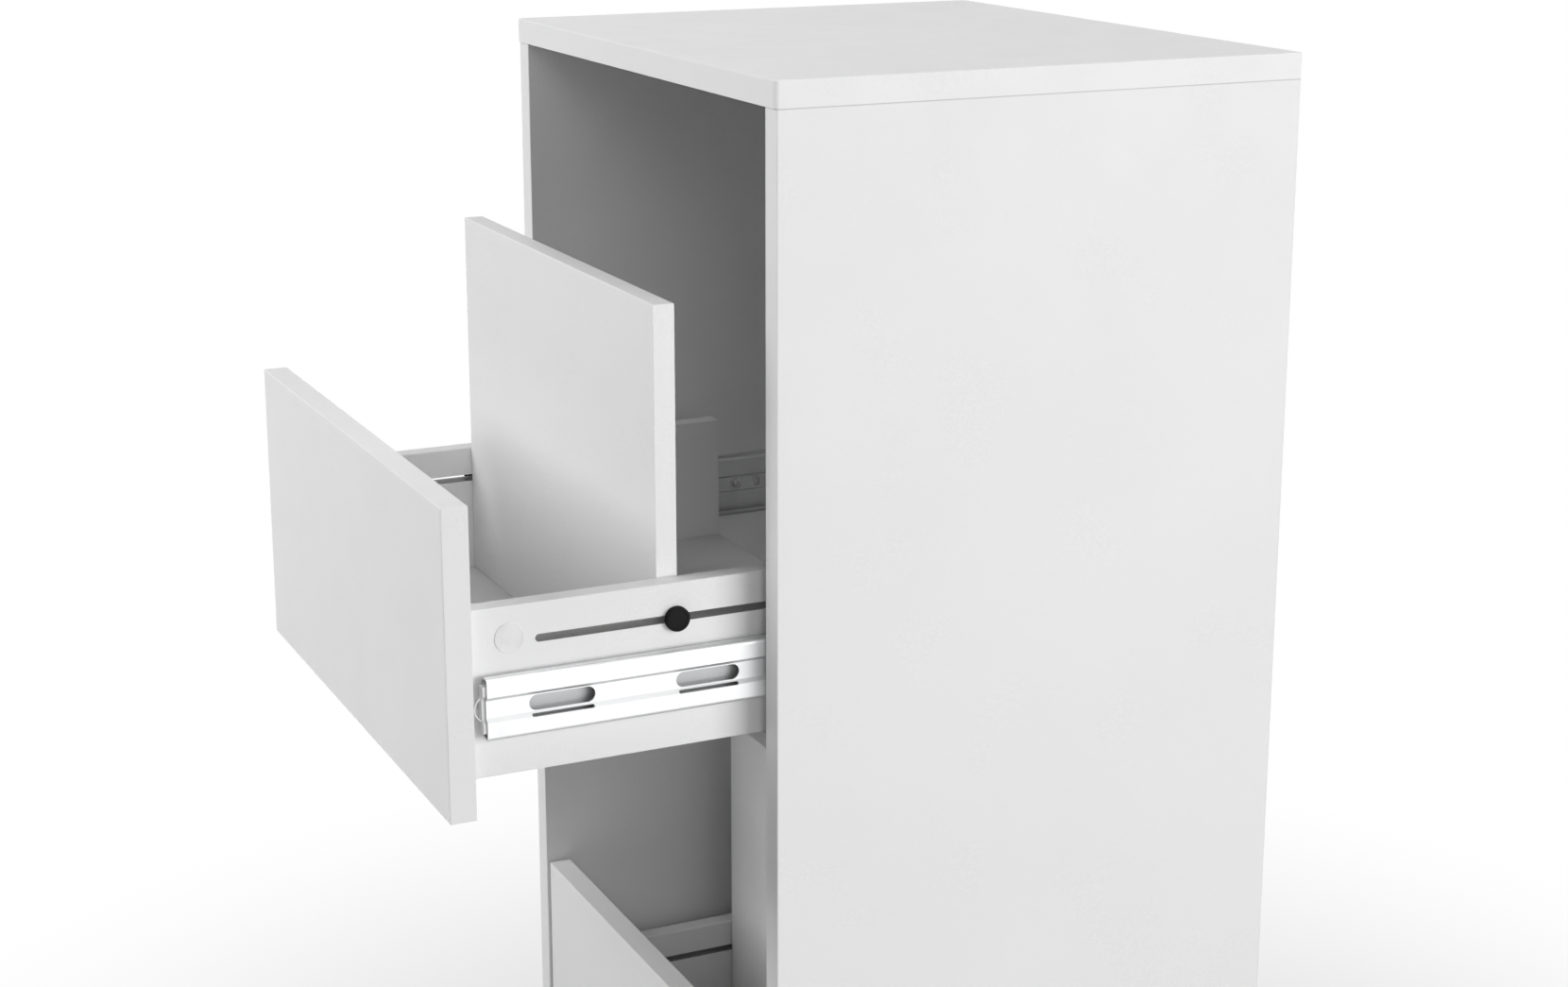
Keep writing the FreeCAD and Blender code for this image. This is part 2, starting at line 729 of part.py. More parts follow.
def make_cages(name, front, length, back, face, away, rise):
    """Two strips of sheet with a row of balls each, above and below the slide's middle line."""
    body = new_body(name)
    strips = slide_sketch(body, "strips", front)
    for side in ("", "-"):
        middle = f"{side}({rise})"
        draw_rectangle(strips, f"-({face} - sheet - cage_play)", f"{middle} - cage_sheet/2",
                       f"-({back} + sheet + cage_play)", f"{middle} + cage_sheet/2")
    pad(strips, length)
    middle_x = f"inner_half - ({away})"
    first = f"{front} + cage_end"
    pockets = new_sketch(body, "pockets", "XY_Plane", f"slide_axis + {rise} + cage_sheet/2")
    draw_circle(pockets, middle_x, first, "ball_diameter + pocket_play")
    cut(pockets)
    row_length = f"{length} - 2*cage_end"
    repeat([body.Tip], "Y_Axis", row_length, BALLS_PER_ROW)
    balls = []
    for side in "+-":
        ball = body.newObject("PartDesign::AdditiveSphere", f"{name}_ball")
        ball.AttachmentSupport = (origin_part(body, "XY_Plane"), "")
        ball.MapMode = "FlatFace"
        for axis, formula in zip("xyz", (middle_x, first, f"slide_axis {side} {rise}")):
            ball.setExpression(f"AttachmentOffset.Base.{axis}", expression(formula))
        ball.setExpression("Radius", expression("ball_diameter/2"))
        balls.append(ball)
    repeat(balls, "Y_Axis", row_length, BALLS_PER_ROW)
    return body


def draw_pan_screw(sketch, seat, point, length):
    """Draw half a pan-head screw from the seat of its head towards its point, given as a sign."""
    back = "-" if point == "+" else "+"
    draw_outline(sketch, [
        (f"{seat} {back} screw_head_height", "0"),
        (f"{seat} {back} screw_head_height", "screw_head/2 - screw_head_bevel"),
        (seat, "screw_head/2"),
        (seat, "screw_diameter/2"),
        (f"{seat} {point} ({length} - screw_tip)", "screw_diameter/2"),
        (f"{seat} {point} {length}", "0"),
    ])


def make_cabinet_screws():
    """Screws that hold the cabinet rails of both drawers to the side panel."""
    body = new_body("right_cabinet_rail_screws")
    screws = []
    for level, drop in (("upper", "0"), ("lower", "pitch")):
        profile = new_sketch(body, f"{level}_screw", "XZ_Plane", "cabinet_screw_front", "inner_half",
                             f"slide_axis - {drop}")
        draw_pan_screw(profile, "-(cabinet_rib_raise + sheet)", "+", "screw_length")
        screws.append(revolve(profile))
    repeat(screws, "Y_Axis", f"{SCREWS_PER_RAIL - 1}*screw_pitch", SCREWS_PER_RAIL)
    list_pair(body)


def make_drawer_screws(level):
    """Screws that hold the drawer rail to the drawer side."""
    body = new_body(f"{level}_right_drawer_rail_screws")
    profile = new_sketch(body, "screw", "XZ_Plane", "drawer_screw_front", "drawer_half", "slide_axis")
    draw_pan_screw(profile, "sheet", "-", "drawer_screw_length")
    repeat([revolve(profile)], "Y_Axis", f"{SCREWS_PER_RAIL - 1}*screw_pitch", SCREWS_PER_RAIL)
    return body


# Drawer box

END_DOWELS = [("bolt_place", "dowel_axis"), ("floor_dowel_place", "floor_axis")]
SIDE_DOWELS = [(y, "floor_axis") for y in evenly("front_inner + floor_dowel_first", "floor_dowel_pitch",
                                                  FLOOR_DOWELS)]
DRAWER_BORE = "dowel_diameter + 2*hole_play"
DRAWER_SHORT_BORE = "dowel_short + hole_play"
DRAWER_LONG_BORE = "dowel_long + hole_play"


def make_drawer_front(level):
    """Low inset front, as thick as the carcass."""
    face = "front_face + front_recess"
    top = "front_bottom + front_height"
    body = new_board(f"{level}_drawer_front", "XZ_Plane", face,
                     ("-front_half", "front_bottom", "front_half", top), "board")
    round_edges(body, "edge_round", at(y=face), at(y="front_inner", z=top))
    bolts = [("bolt_place", "cam_axis"), ("-(bolt_place)", "cam_axis")]
    drill(body, "bolt_holes", "XZ_Plane", "front_inner", bolts, "bolt_thread + 2*hole_play",
          "bolt_thread_length + hole_play")
    places = END_DOWELS + [(f"-({x})", z) for x, z in END_DOWELS]
    drill(body, "dowel_holes", "XZ_Plane", "front_inner", places, DRAWER_BORE, DRAWER_SHORT_BORE)
    return body


def make_drawer_side(level):
    """Side board with the long slot for the divider's knob and the seat of the cam fitting."""
    top = "drawer_bottom + drawer_side_height"
    body = new_board(f"{level}_drawer_right_side", "YZ_Plane", "drawer_inner_half",
                     ("front_inner", "drawer_bottom", "drawer_rear", top), "drawer_side")
    round_edges(body, "edge_round", at(x="drawer_inner_half", z=top), at(x="drawer_half", z=top))
    slot = new_sketch(body, "slot", "YZ_Plane", "drawer_inner_half")
    draw_slot(slot, "front_inner + drawer_side_length/2", "slot_axis",
              "drawer_side_length - 2*slot_margin", "slot_width")
    cut(slot, up=True)
    drill(body, "cam_seat", "YZ_Plane", "drawer_half", [("cam_place", "cam_axis")],
          "cam_diameter + 2*cam_play", "cam_height + cam_play")
    drill(body, "bolt_bore", "XZ_Plane", "front_inner", [("bolt_place", "cam_axis")], "bolt_bore",
          "cam_setback", up=True)
    drill(body, "end_dowel_hole", "XZ_Plane", "front_inner", END_DOWELS[:1], DRAWER_BORE,
          DRAWER_LONG_BORE, up=True)
    drill(body, "floor_dowel_holes", "YZ_Plane", "drawer_inner_half", SIDE_DOWELS, DRAWER_BORE,
          DRAWER_SHORT_BORE, up=True)
    screws = evenly("drawer_screw_front", "screw_pitch", SCREWS_PER_RAIL)
    drill(body, "screw_holes", "YZ_Plane", "drawer_half", [(y, "slide_axis") for y in screws], SCREW_BORE,
          "drawer_screw_length - sheet + hole_play")
    return body


def make_drawer_floor(level):
    """Floor board that the records stand on, open at the rear."""
    body = new_board(f"{level}_drawer_floor", "XY_Plane", "floor_bottom",
                     ("-drawer_inner_half", "front_inner", "drawer_inner_half", "drawer_rear"), "drawer_floor")
    places = [(f"{side}floor_dowel_place", "floor_axis") for side in ("", "-")]
    drill(body, "front_dowel_holes", "XZ_Plane", "front_inner", places, DRAWER_BORE, DRAWER_LONG_BORE, up=True)
    drill_ends(body, "dowel_holes", "drawer_inner_half", SIDE_DOWELS, DRAWER_BORE, DRAWER_LONG_BORE)
    return body


def make_drawer_dowels(level):
    """Dowels of the right half of the drawer box."""
    body = new_body(f"{level}_right_drawer_dowels")
    length = "dowel_long + dowel_short"
    add_dowels(body, "front", "XZ_Plane", "front_inner - dowel_short", END_DOWELS, "dowel_diameter", length)
    add_dowels(body, "floor", "YZ_Plane", "drawer_inner_half - dowel_long", SIDE_DOWELS, "dowel_diameter",
               length)
    return body


def make_cam(level):
    """Cam that lies in the drawer side and draws the bolt of the front in."""
    body = new_body(f"{level}_right_drawer_cams")
    add_rods(body, "drum", "YZ_Plane", "drawer_half - cam_play - cam_height", [("cam_place", "cam_axis")],
             "cam_diameter", "cam_height")
    drill(body, "mouth", "XZ_Plane", "cam_place - cam_diameter/2", [("bolt_place", "cam_axis")],
          "bolt_head + 2*cam_play", "cam_diameter/2 + cam_play", up=True)
    return body


def make_cam_bolt(level):
    """Bolt with its thread in the drawer front and its head in the cam."""
    body = new_body(f"{level}_right_drawer_cam_bolts")
    neck = "cam_setback - bolt_head_length"
    profile = new_sketch(body, "profile", "YZ_Plane", "bolt_place", "front_inner", "cam_axis")
    draw_outline(profile, [
        ("-bolt_thread_length", "0"),
        ("-bolt_thread_length", "bolt_thread/2"),
        ("0", "bolt_thread/2"),
        ("0", "bolt_shank/2"),
        (neck, "bolt_shank/2"),
        (neck, "bolt_head/2"),
        ("cam_setback", "bolt_head/2"),
        ("cam_setback", "0"),
    ])
    revolve(profile)
    return body


def make_cam_cap(level):
    """Thin cap that covers the cam."""
    body = new_body(f"{level}_right_drawer_cam_caps")
    add_rods(body, "disc", "YZ_Plane", "drawer_half", [("cam_place", "cam_axis")], "cap_diameter",
             "cap_thickness")
    return body


# Divider

DIVIDER_BORE = [("divider_middle", "slot_axis")]


def make_divider_board(level):
    """Upright board across the drawer, with a bore for a threaded insert in each end."""
    top = "divider_bottom + divider_height"
    body = new_board(f"{level}_divider_board", "XZ_Plane", "divider_front",
                     ("-(divider_half)", "divider_bottom", "divider_half", top), "divider_board")
    round_edges(body, "edge_round", at(y="divider_front", z=top), at(y="divider_front + divider_board", z=top))
    drill_ends(body, "insert_bore", "divider_half", DIVIDER_BORE, "nut_diameter + 2*hole_play",
               "nut_length + hole_play")
    return body


def make_divider_nut(level):
    """Threaded insert for the knob's stud."""
    body = new_body(f"{level}_right_divider_nuts")
    add_rods(body, "sleeve", "YZ_Plane", "nut_end", DIVIDER_BORE, "nut_diameter", "nut_length")
    drill(body, "thread", "YZ_Plane", "divider_half", DIVIDER_BORE, "stud_diameter + 2*hole_play")
    return body


def make_knob_head(level):
    """Flat round knob outside the drawer side."""
    body = new_body(f"{level}_right_knob_head")
    seat = "drawer_half + knob_play"
    add_rods(body, "disc", "YZ_Plane", seat, DIVIDER_BORE, "knob_diameter", "knob_height")
    bevel_edges(body, "knob_bevel", at(x=f"{seat} + knob_height"))
    drill(body, "socket", "YZ_Plane", seat, DIVIDER_BORE, "stud_diameter", "knob_socket", up=True)
    return body


def make_knob_stud(level):
    """Threaded stud that runs from the knob through the slot into the divider."""
    body = new_body(f"{level}_right_knob_stud")
    start = "divider_half - stud_reach"
    add_rods(body, "rod", "YZ_Plane", start, DIVIDER_BORE, "stud_diameter",
             f"drawer_half + knob_play + knob_socket - ({start})")
    return body


# Assembly

def add_drawer(level, opening, drop):
    """Build one drawer with its slides and its divider, pulled out by its opening."""
    rail = make_cabinet_rail(level)
    place(rail, "0", drop)
    list_both_sides(rail)

    outer_cages = make_cages(f"{level}_right_outer_ball_cages", "outer_cage_front", "outer_cage", "0",
                             "cabinet_rail_depth", "outer_ball_in", "outer_ball_up")
    place(outer_cages, f"{opening}/2", drop)
    list_pair(outer_cages)

    inner_cages = make_cages(f"{level}_right_inner_ball_cages", "inner_cage_front", "inner_cage",
                             "middle_back", "middle_face", "inner_ball_in", "inner_ball_up")
    place(inner_cages, opening, drop)
    list_pair(inner_cages)

    for make in (make_drawer_front, make_drawer_floor, make_divider_board):
        piece = make(level)
        place(piece, opening, drop)
        nodes.append(piece)

    for make in (make_middle_rail, make_drawer_rail, make_drawer_side, make_knob_head, make_knob_stud):
        piece = make(level)
        place(piece, opening, drop)
        list_both_sides(piece)

    for make in (make_rail_buffer, make_drawer_screws, make_cam, make_cam_bolt, make_cam_cap,
                 make_drawer_dowels, make_divider_nut):
        piece = make(level)
        place(piece, opening, drop)
        list_pair(piece)


def check_document():
    """Stop if an object failed or a cut removed nothing."""
    for item in doc.Objects:
        if {"Invalid", "Error"} & set(item.State):
            raise RuntimeError(f"{item.Name} failed")
    for feature in cuts:
        if feature.Shape.Volume >= feature.BaseFeature.Shape.Volume:
            raise RuntimeError(f"{feature.Name} removed nothing")
    for piece in nodes:
        if piece.Shape.isNull() or not piece.Shape.isValid():
            raise RuntimeError(f"{piece.Label} has no sound shape")


make_top_panel()
make_side_panels()
make_base_panel()
make_back_panel()
make_carcass_dowels()
make_glides()
make_cabinet_screws()
add_drawer("upper", "upper_opening", "0")
add_drawer("lower", "lower_opening", "pitch")
doc.recompute()
check_document()

os.makedirs("parts", exist_ok=True)
for piece in nodes:
    piece.Shape.exportStep(f"parts/{piece.Label}.step")
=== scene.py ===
import logging
import math
from dataclasses import dataclass, field
from enum import Enum
from typing import Callable

import bmesh
import bpy
from mathutils import Matrix, Vector


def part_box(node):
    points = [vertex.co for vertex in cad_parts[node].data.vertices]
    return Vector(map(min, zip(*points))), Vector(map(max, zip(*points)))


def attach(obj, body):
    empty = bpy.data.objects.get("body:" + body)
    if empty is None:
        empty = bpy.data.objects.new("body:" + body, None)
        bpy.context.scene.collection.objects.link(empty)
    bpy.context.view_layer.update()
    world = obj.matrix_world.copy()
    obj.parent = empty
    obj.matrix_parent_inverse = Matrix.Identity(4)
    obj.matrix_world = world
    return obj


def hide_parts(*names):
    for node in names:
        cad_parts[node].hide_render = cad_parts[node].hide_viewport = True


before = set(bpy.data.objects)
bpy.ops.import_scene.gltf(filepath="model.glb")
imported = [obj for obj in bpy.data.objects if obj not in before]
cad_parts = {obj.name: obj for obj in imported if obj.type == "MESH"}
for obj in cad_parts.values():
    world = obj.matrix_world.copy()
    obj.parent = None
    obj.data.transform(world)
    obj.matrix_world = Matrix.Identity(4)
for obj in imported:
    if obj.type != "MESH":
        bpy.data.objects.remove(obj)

log = logging.getLogger("record_drawer_unit")

MM = 0.001
SIDES = (("right", 1.0), ("left", -1.0))
LEVELS = ("upper", "lower")


class Axis(Enum):
    """Direction that a board's thickness or a sheet's rolling lines run in."""

    X = 0
    Y = 1
    Z = 2


class Part(Enum):
    """Kind of mesh element to pick, with the mesh's own name for the whole set."""

    FACE = "faces"
    EDGE = "edges"


# Shader graphs


class Graph:
    """A material under construction, with short ways to add and join nodes."""

    def __init__(self, name: str) -> None:
        """Start an empty material.

        Args:
            name: Name of the material.
        """
        self.material = bpy.data.materials.new(name)
        self.material.use_nodes = True
        self.tree = self.material.node_tree
        self.tree.nodes.clear()
        output = self.tree.nodes.new("ShaderNodeOutputMaterial")
        self.surface = self.tree.nodes.new("ShaderNodeBsdfPrincipled")
        self.tree.links.new(self.surface.outputs[0], output.inputs["Surface"])
        self.coordinates = self.tree.nodes.new("ShaderNodeTexCoord").outputs["Object"]

    def put(self, socket: bpy.types.NodeSocket, value: object) -> None:
        """Join a socket to an output, or set its value.

        Args:
            socket: Input to fill.
            value: Output socket, number, or colour.
        """
        if isinstance(value, bpy.types.NodeSocket):
            self.tree.links.new(value, socket)
        else:
            socket.default_value = value

    def math(self, operation: str, *values: object, clamp: bool = False) -> bpy.types.NodeSocket:
        """Work out a number.

        Args:
            operation: Name of the sum, such as MULTIPLY.
            values: Its inputs, sockets or numbers.
            clamp: Whether the result stays between 0 and 1.

        Returns:
            The result's socket.
        """
        node = self.tree.nodes.new("ShaderNodeMath")
        node.operation = operation
        node.use_clamp = clamp
        for socket, value in zip(node.inputs, values):
            self.put(socket, value)
        return node.outputs[0]

    def spread(self, value: bpy.types.NodeSocket, low: float, high: float, to_low: float,
               to_high: float) -> bpy.types.NodeSocket:
        """Carry a number from one range to another, smoothly and without leaving it.

        Args:
            value: Number to carry.
            low: Start of its range.
            high: End of its range.
            to_low: Result at the start.
            to_high: Result at the end.

        Returns:
            The result's socket.
        """
        node = self.tree.nodes.new("ShaderNodeMapRange")
        node.interpolation_type = "SMOOTHSTEP"
        for socket, number in zip(node.inputs, (value, low, high, to_low, to_high)):
            self.put(socket, number)
        return node.outputs[0]

    def stretched(self, scale: tuple[float, float, float]) -> bpy.types.NodeSocket:
        """Give the object's coordinates, stretched along the axes.

        Args:
            scale: Factor along each axis.

        Returns:
            The coordinates' socket.
        """
        node = self.tree.nodes.new("ShaderNodeMapping")
        self.put(node.inputs["Vector"], self.coordinates)
        node.inputs["Scale"].default_value = scale
        return node.outputs[0]

    def noise(self, scale: float, detail: float = 2.0, vector: object = None) -> bpy.types.NodeSocket:
        """Add a soft noise.

        Args:
            scale: Number of features in a metre.
            detail: Octaves of finer noise.
            vector: Coordinates, the object's own where none are given.

        Returns:
            The noise's socket.
        """
        node = self.tree.nodes.new("ShaderNodeTexNoise")
        self.put(node.inputs["Vector"], vector or self.coordinates)
        node.inputs["Scale"].default_value = scale
        node.inputs["Detail"].default_value = detail
        return node.outputs["Fac"]

    def cells(self, scale: float) -> bpy.types.Node:
        """Add a cell pattern.

        Args:
            scale: Number of cells in a metre.

        Returns:
            The pattern's node, with its distance and colour.
        """
        node = self.tree.nodes.new("ShaderNodeTexVoronoi")
        self.put(node.inputs["Vector"], self.coordinates)
        node.inputs["Scale"].default_value = scale
        return node

    def shade(self, colour: tuple[float, float, float], amount: bpy.types.NodeSocket) -> bpy.types.NodeSocket:
        """Make a colour darker or lighter by a factor.

        Args:
            colour: Colour to start from.
            amount: Factor, 1 for no change.

        Returns:
            The shaded colour's socket.
        """
        node = self.tree.nodes.new("ShaderNodeVectorMath")
        node.operation = "SCALE"
        node.inputs[0].default_value = colour
        self.put(node.inputs["Scale"], amount)
        return node.outputs[0]

    def blend(self, factor: object, first: object, second: object) -> bpy.types.NodeSocket:
        """Mix two colours.

        Args:
            factor: Share of the second colour.
            first: Colour or socket.
            second: Colour or socket.

        Returns:
            The mixed colour's socket.
        """
        node = self.tree.nodes.new("ShaderNodeMix")
        node.data_type = "RGBA"
        self.put(node.inputs[0], factor)
        for socket, value in ((node.inputs[6], first), (node.inputs[7], second)):
            self.put(socket, (*value, 1.0) if isinstance(value, tuple) else value)
        return node.outputs[2]

    def bump(self, height: bpy.types.NodeSocket, strength: float, distance: float) -> None:
        """Add relief to the surface, over any relief that it has.

        Args:
            height: Height from 0 to 1.
            strength: Strength of the effect.
            distance: Depth of the relief in metres.
        """
        node = self.tree.nodes.new("ShaderNodeBump")
        node.inputs["Strength"].default_value = strength
        node.inputs["Distance"].default_value = distance
        self.put(node.inputs["Height"], height)
        normal = self.surface.inputs["Normal"]
        if normal.is_linked:
            self.put(node.inputs["Normal"], normal.links[0].from_socket)
        self.put(normal, node.outputs[0])


# Finishes


@dataclass(frozen=True)
class BoardFoil:
    """White satin foil on a board, with the edge band's joint, a painted shade line along a seam, and painted
    shade on the walls of slots and bores.
    """

    colour: tuple[float, float, float] = (0.80, 0.80, 0.80)
    # Painted shade: a grey on the walls of slots and bores, which lie more than 2 mm in from the board's
    # outline.
    core: tuple[float, float, float] = (0.45, 0.45, 0.448)
    slot_shade_inset: float = 2.0 * MM
    roughness: float = 0.50
    specular: float = 0.3
    band: float = 0.6 * MM
    joint: float = 0.14 * MM
    joint_tone: float = 0.12
    face_skin: float = 0.02 * MM
    # Width and darkening of the painted shade line along a seam under another board.
    seam: float = 0.9 * MM
    seam_shade_tone: float = 0.34
    rubbed_width: float = 1.32 * MM
    rubbed_gloss: float = 0.08
    gloss_range: float = 0.05
    patch_scale: float = 16.0
    stipple_scale: float = 650.0
    pit_scale: float = 95.0
    pit_tone: float = 0.07
    grain_height: float = 0.05 * MM
    wave_height: float = 0.12 * MM
    line_depth: float = 0.06 * MM

    def edge_distance(self, graph: Graph, node: str, thickness: Axis) -> tuple[bpy.types.NodeSocket, ...]:
        """Work out how far a point of a board is from the nearest edge of its faces.

        Args:
            graph: Material under construction.
            node: Name of the board's CAD node.
            thickness: Direction of the board's thickness.

        Returns:
            The distance in metres, and 1 on the two faces and 0 on the narrow edges.
        """
        split = graph.tree.nodes.new("ShaderNodeSeparateXYZ")
        graph.put(split.inputs[0], graph.coordinates)
        low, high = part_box(node)
        reaches = {}
        for axis in Axis:
            middle = (low[axis.value] + high[axis.value]) / 2
            half = (high[axis.value] - low[axis.value]) / 2
            offset = graph.math("ABSOLUTE", graph.math("SUBTRACT", split.outputs[axis.value], middle))
            reaches[axis] = graph.math("SUBTRACT", half, offset)
        on_face = graph.math("LESS_THAN", reaches.pop(thickness), self.face_skin)
        return graph.math("MINIMUM", *reaches.values()), on_face

    def paint_seam_shade(self, graph: Graph, height: float) -> bpy.types.NodeSocket:
        """Paint a fine line of shade where another board lies on this one.

        Args:
            graph: Material under construction.
            height: Z of the seam.

        Returns:
            1 in the seam and 0 away from it.
        """
        split = graph.tree.nodes.new("ShaderNodeSeparateXYZ")
        graph.put(split.inputs[0], graph.coordinates)
        gap = graph.math("ABSOLUTE", graph.math("SUBTRACT", split.outputs[2], height))
        return graph.spread(gap, 0.3 * self.seam, self.seam, 1.0, 0.0)

    def make(self, node: str, thickness: Axis, seam_height: float | None = None) -> bpy.types.Material:
        """Make the material of one board.

        Args:
            node: Name of the board's CAD node.
            thickness: Direction of the board's thickness.
            seam_height: Z of a seam with a board on top, where there is one.

        Returns:
            The finished material.
        """
        graph = Graph(f"board_foil_{node}")
        distance, on_face = self.edge_distance(graph, node, thickness)
        joint = graph.math("SUBTRACT", distance, self.band)
        line = graph.spread(graph.math("ABSOLUTE", joint), 0.0, self.joint, 1.0, 0.0)
        line = graph.math("MULTIPLY", line, on_face)
        rubbed = graph.spread(distance, 0.0, self.rubbed_width, 1.0, 0.0)
        clouds = graph.spread(graph.noise(5.0, 3.0), 0.3, 0.7, 0.988, 1.008)
        patches = graph.spread(graph.noise(self.patch_scale), 0.52, 0.66, 0.0, 1.0)
        stipple = graph.spread(graph.noise(self.stipple_scale), 0.42, 0.58, -0.014, 0.010)
        grain = graph.math("MULTIPLY", stipple, graph.math("ADD", patches, 0.25))
        pits = graph.cells(self.pit_scale)
        pit = graph.spread(pits.outputs["Distance"], 0.035, 0.06, 1.0, 0.0)
        rare = graph.math("GREATER_THAN", graph.noise(14.0, 1.0), 0.60)
        speck = graph.math("MULTIPLY", pit, rare)
        shade = graph.math("ADD", clouds, grain)
        shade = graph.math("SUBTRACT", shade, graph.math("MULTIPLY", line, self.joint_tone))
        shade = graph.math("SUBTRACT", shade, graph.math("MULTIPLY", speck, self.pit_tone))
        # Painted shade: a fine dark line along the seam under the top panel.
        if seam_height is not None:
            seam = graph.math("MULTIPLY", self.paint_seam_shade(graph, seam_height), self.seam_shade_tone)
            shade = graph.math("SUBTRACT", shade, seam)
        # Painted shade: walls of slots and bores, away from the faces and the outline, get a darker grey in
        # place of the foil.
        inward = graph.math("GREATER_THAN", distance, self.slot_shade_inset)
        painted_slot_shade = graph.math("MULTIPLY", inward, graph.math("SUBTRACT", 1.0, on_face))
        core = graph.shade(self.core, graph.spread(graph.noise(420.0, 3.0), 0.3, 0.7, 0.93, 1.05))
        foil = graph.shade(self.colour, shade)
        graph.put(graph.surface.inputs["Base Color"], graph.blend(painted_slot_shade, foil, core))
        graph.surface.inputs["Specular IOR Level"].default_value = self.specular
        gloss = graph.spread(graph.noise(30.0, 3.0), 0.3, 0.7, self.roughness - self.gloss_range,
                             self.roughness + self.gloss_range)
        gloss = graph.math("SUBTRACT", gloss, graph.math("MULTIPLY", rubbed, self.rubbed_gloss))
        graph.put(graph.surface.inputs["Roughness"], gloss)
        graph.bump(graph.noise(1500.0), 0.12, self.grain_height)
        graph.bump(graph.noise(60.0), 0.05, self.wave_height)
        graph.bump(graph.math("SUBTRACT", 1.0, graph.math("MAXIMUM", line, speck)), 0.35, self.line_depth)
        return graph.material


@dataclass(frozen=True)
class RolledSteel:
    """Zinc-plated sheet with fine rolling lines."""

    name: str
    colour: tuple[float, float, float] = (0.66, 0.665, 0.67)
    roughness: float = 0.47
    along: Axis = Axis.Y
    line_scale: float = 1300.0
    line_stretch: float = 0.012
    spangle_scale: float = 140.0

    def make(self) -> bpy.types.Material:
        """Make the material.

        Returns:
            The finished material.
        """
        graph = Graph(self.name)
        scale = tuple(self.line_stretch if axis is self.along else 1.0 for axis in Axis)
        lines = graph.noise(self.line_scale, 3.0, graph.stretched(scale))
        spangle = graph.cells(self.spangle_scale)
        tone = graph.tree.nodes.new("ShaderNodeSeparateColor")
        graph.put(tone.inputs[0], spangle.outputs["Color"])
        flake = graph.spread(tone.outputs[0], 0.0, 1.0, 0.985, 1.01)
        stain = graph.spread(graph.noise(18.0, 3.0), 0.35, 0.7, 1.0, 0.97)
        shade = graph.math("MULTIPLY", flake, stain)
        shade = graph.math("MULTIPLY", shade, graph.spread(lines, 0.3, 0.7, 0.985, 1.005))
        graph.put(graph.surface.inputs["Base Color"], graph.shade(self.colour, shade))
        graph.surface.inputs["Metallic"].default_value = 1.0
        gloss = graph.spread(lines, 0.3, 0.7, self.roughness - 0.03, self.roughness + 0.04)
        graph.put(graph.surface.inputs["Roughness"], gloss)
        graph.bump(lines, 0.06, 0.01 * MM)
        graph.bump(graph.noise(220.0), 0.04, 0.02 * MM)
        return graph.material


@dataclass(frozen=True)
class TurnedMetal:
    """Turned or ground metal, such as balls, screws, inserts and cams."""

    name: str
    colour: tuple[float, float, float]
    roughness: float
    wear: float = 0.06

    def make(self) -> bpy.types.Material:
        """Make the material.

        Returns:
            The finished material.
        """
        graph = Graph(self.name)
        patches = graph.noise(600.0, 3.0)
        shade = graph.spread(patches, 0.3, 0.7, 1.0 - self.wear, 1.0 + self.wear / 2)
        graph.put(graph.surface.inputs["Base Color"], graph.shade(self.colour, shade))
        graph.surface.inputs["Metallic"].default_value = 1.0
        gloss = graph.spread(graph.noise(900.0), 0.3, 0.7, 0.7 * self.roughness, 1.3 * self.roughness)
        graph.put(graph.surface.inputs["Roughness"], gloss)
        graph.bump(graph.noise(3500.0), 0.08, 0.01 * MM)
        return graph.material


@dataclass(frozen=True)
class MouldedPlastic:
    """Moulded plastic with a finely eroded surface."""

    name: str
    colour: tuple[float, float, float]
    roughness: float
    specular: float = 0.5
    grain: float = 2200.0

    def make(self) -> bpy.types.Material:
        """Make the material.

        Returns:
            The finished material.
        """
        graph = Graph(self.name)
        cloud = graph.spread(graph.noise(90.0, 3.0), 0.3, 0.7, 0.94, 1.05)
        graph.put(graph.surface.inputs["Base Color"], graph.shade(self.colour, cloud))
        graph.surface.inputs["Specular IOR Level"].default_value = self.specular
        fine = graph.noise(self.grain)
        gloss = graph.spread(fine, 0.3, 0.7, self.roughness - 0.06, self.roughness + 0.06)
        graph.put(graph.surface.inputs["Roughness"], gloss)
        graph.bump(fine, 0.22, 0.03 * MM)
        return graph.material


@dataclass(frozen=True)
class Beech:
    """Plain beech of the dowels."""

    name: str = "beech_dowels"
    light: tuple[float, float, float] = (0.62, 0.43, 0.25)
    dark: tuple[float, float, float] = (0.45, 0.28, 0.15)
    roughness: float = 0.62

    def make(self) -> bpy.types.Material:
        """Make the material.

        Returns:
            The finished material.
        """
        graph = Graph(self.name)
        fibres = graph.noise(700.0, 4.0, graph.stretched((1.0, 0.3, 0.3)))
        mix = graph.spread(fibres, 0.3, 0.7, 0.0, 1.0)
        graph.put(graph.surface.inputs["Base Color"], graph.blend(mix, self.light, self.dark))
        graph.surface.inputs["Roughness"].default_value = self.roughness
        graph.bump(fibres, 0.3, 0.08 * MM)
        return graph.material


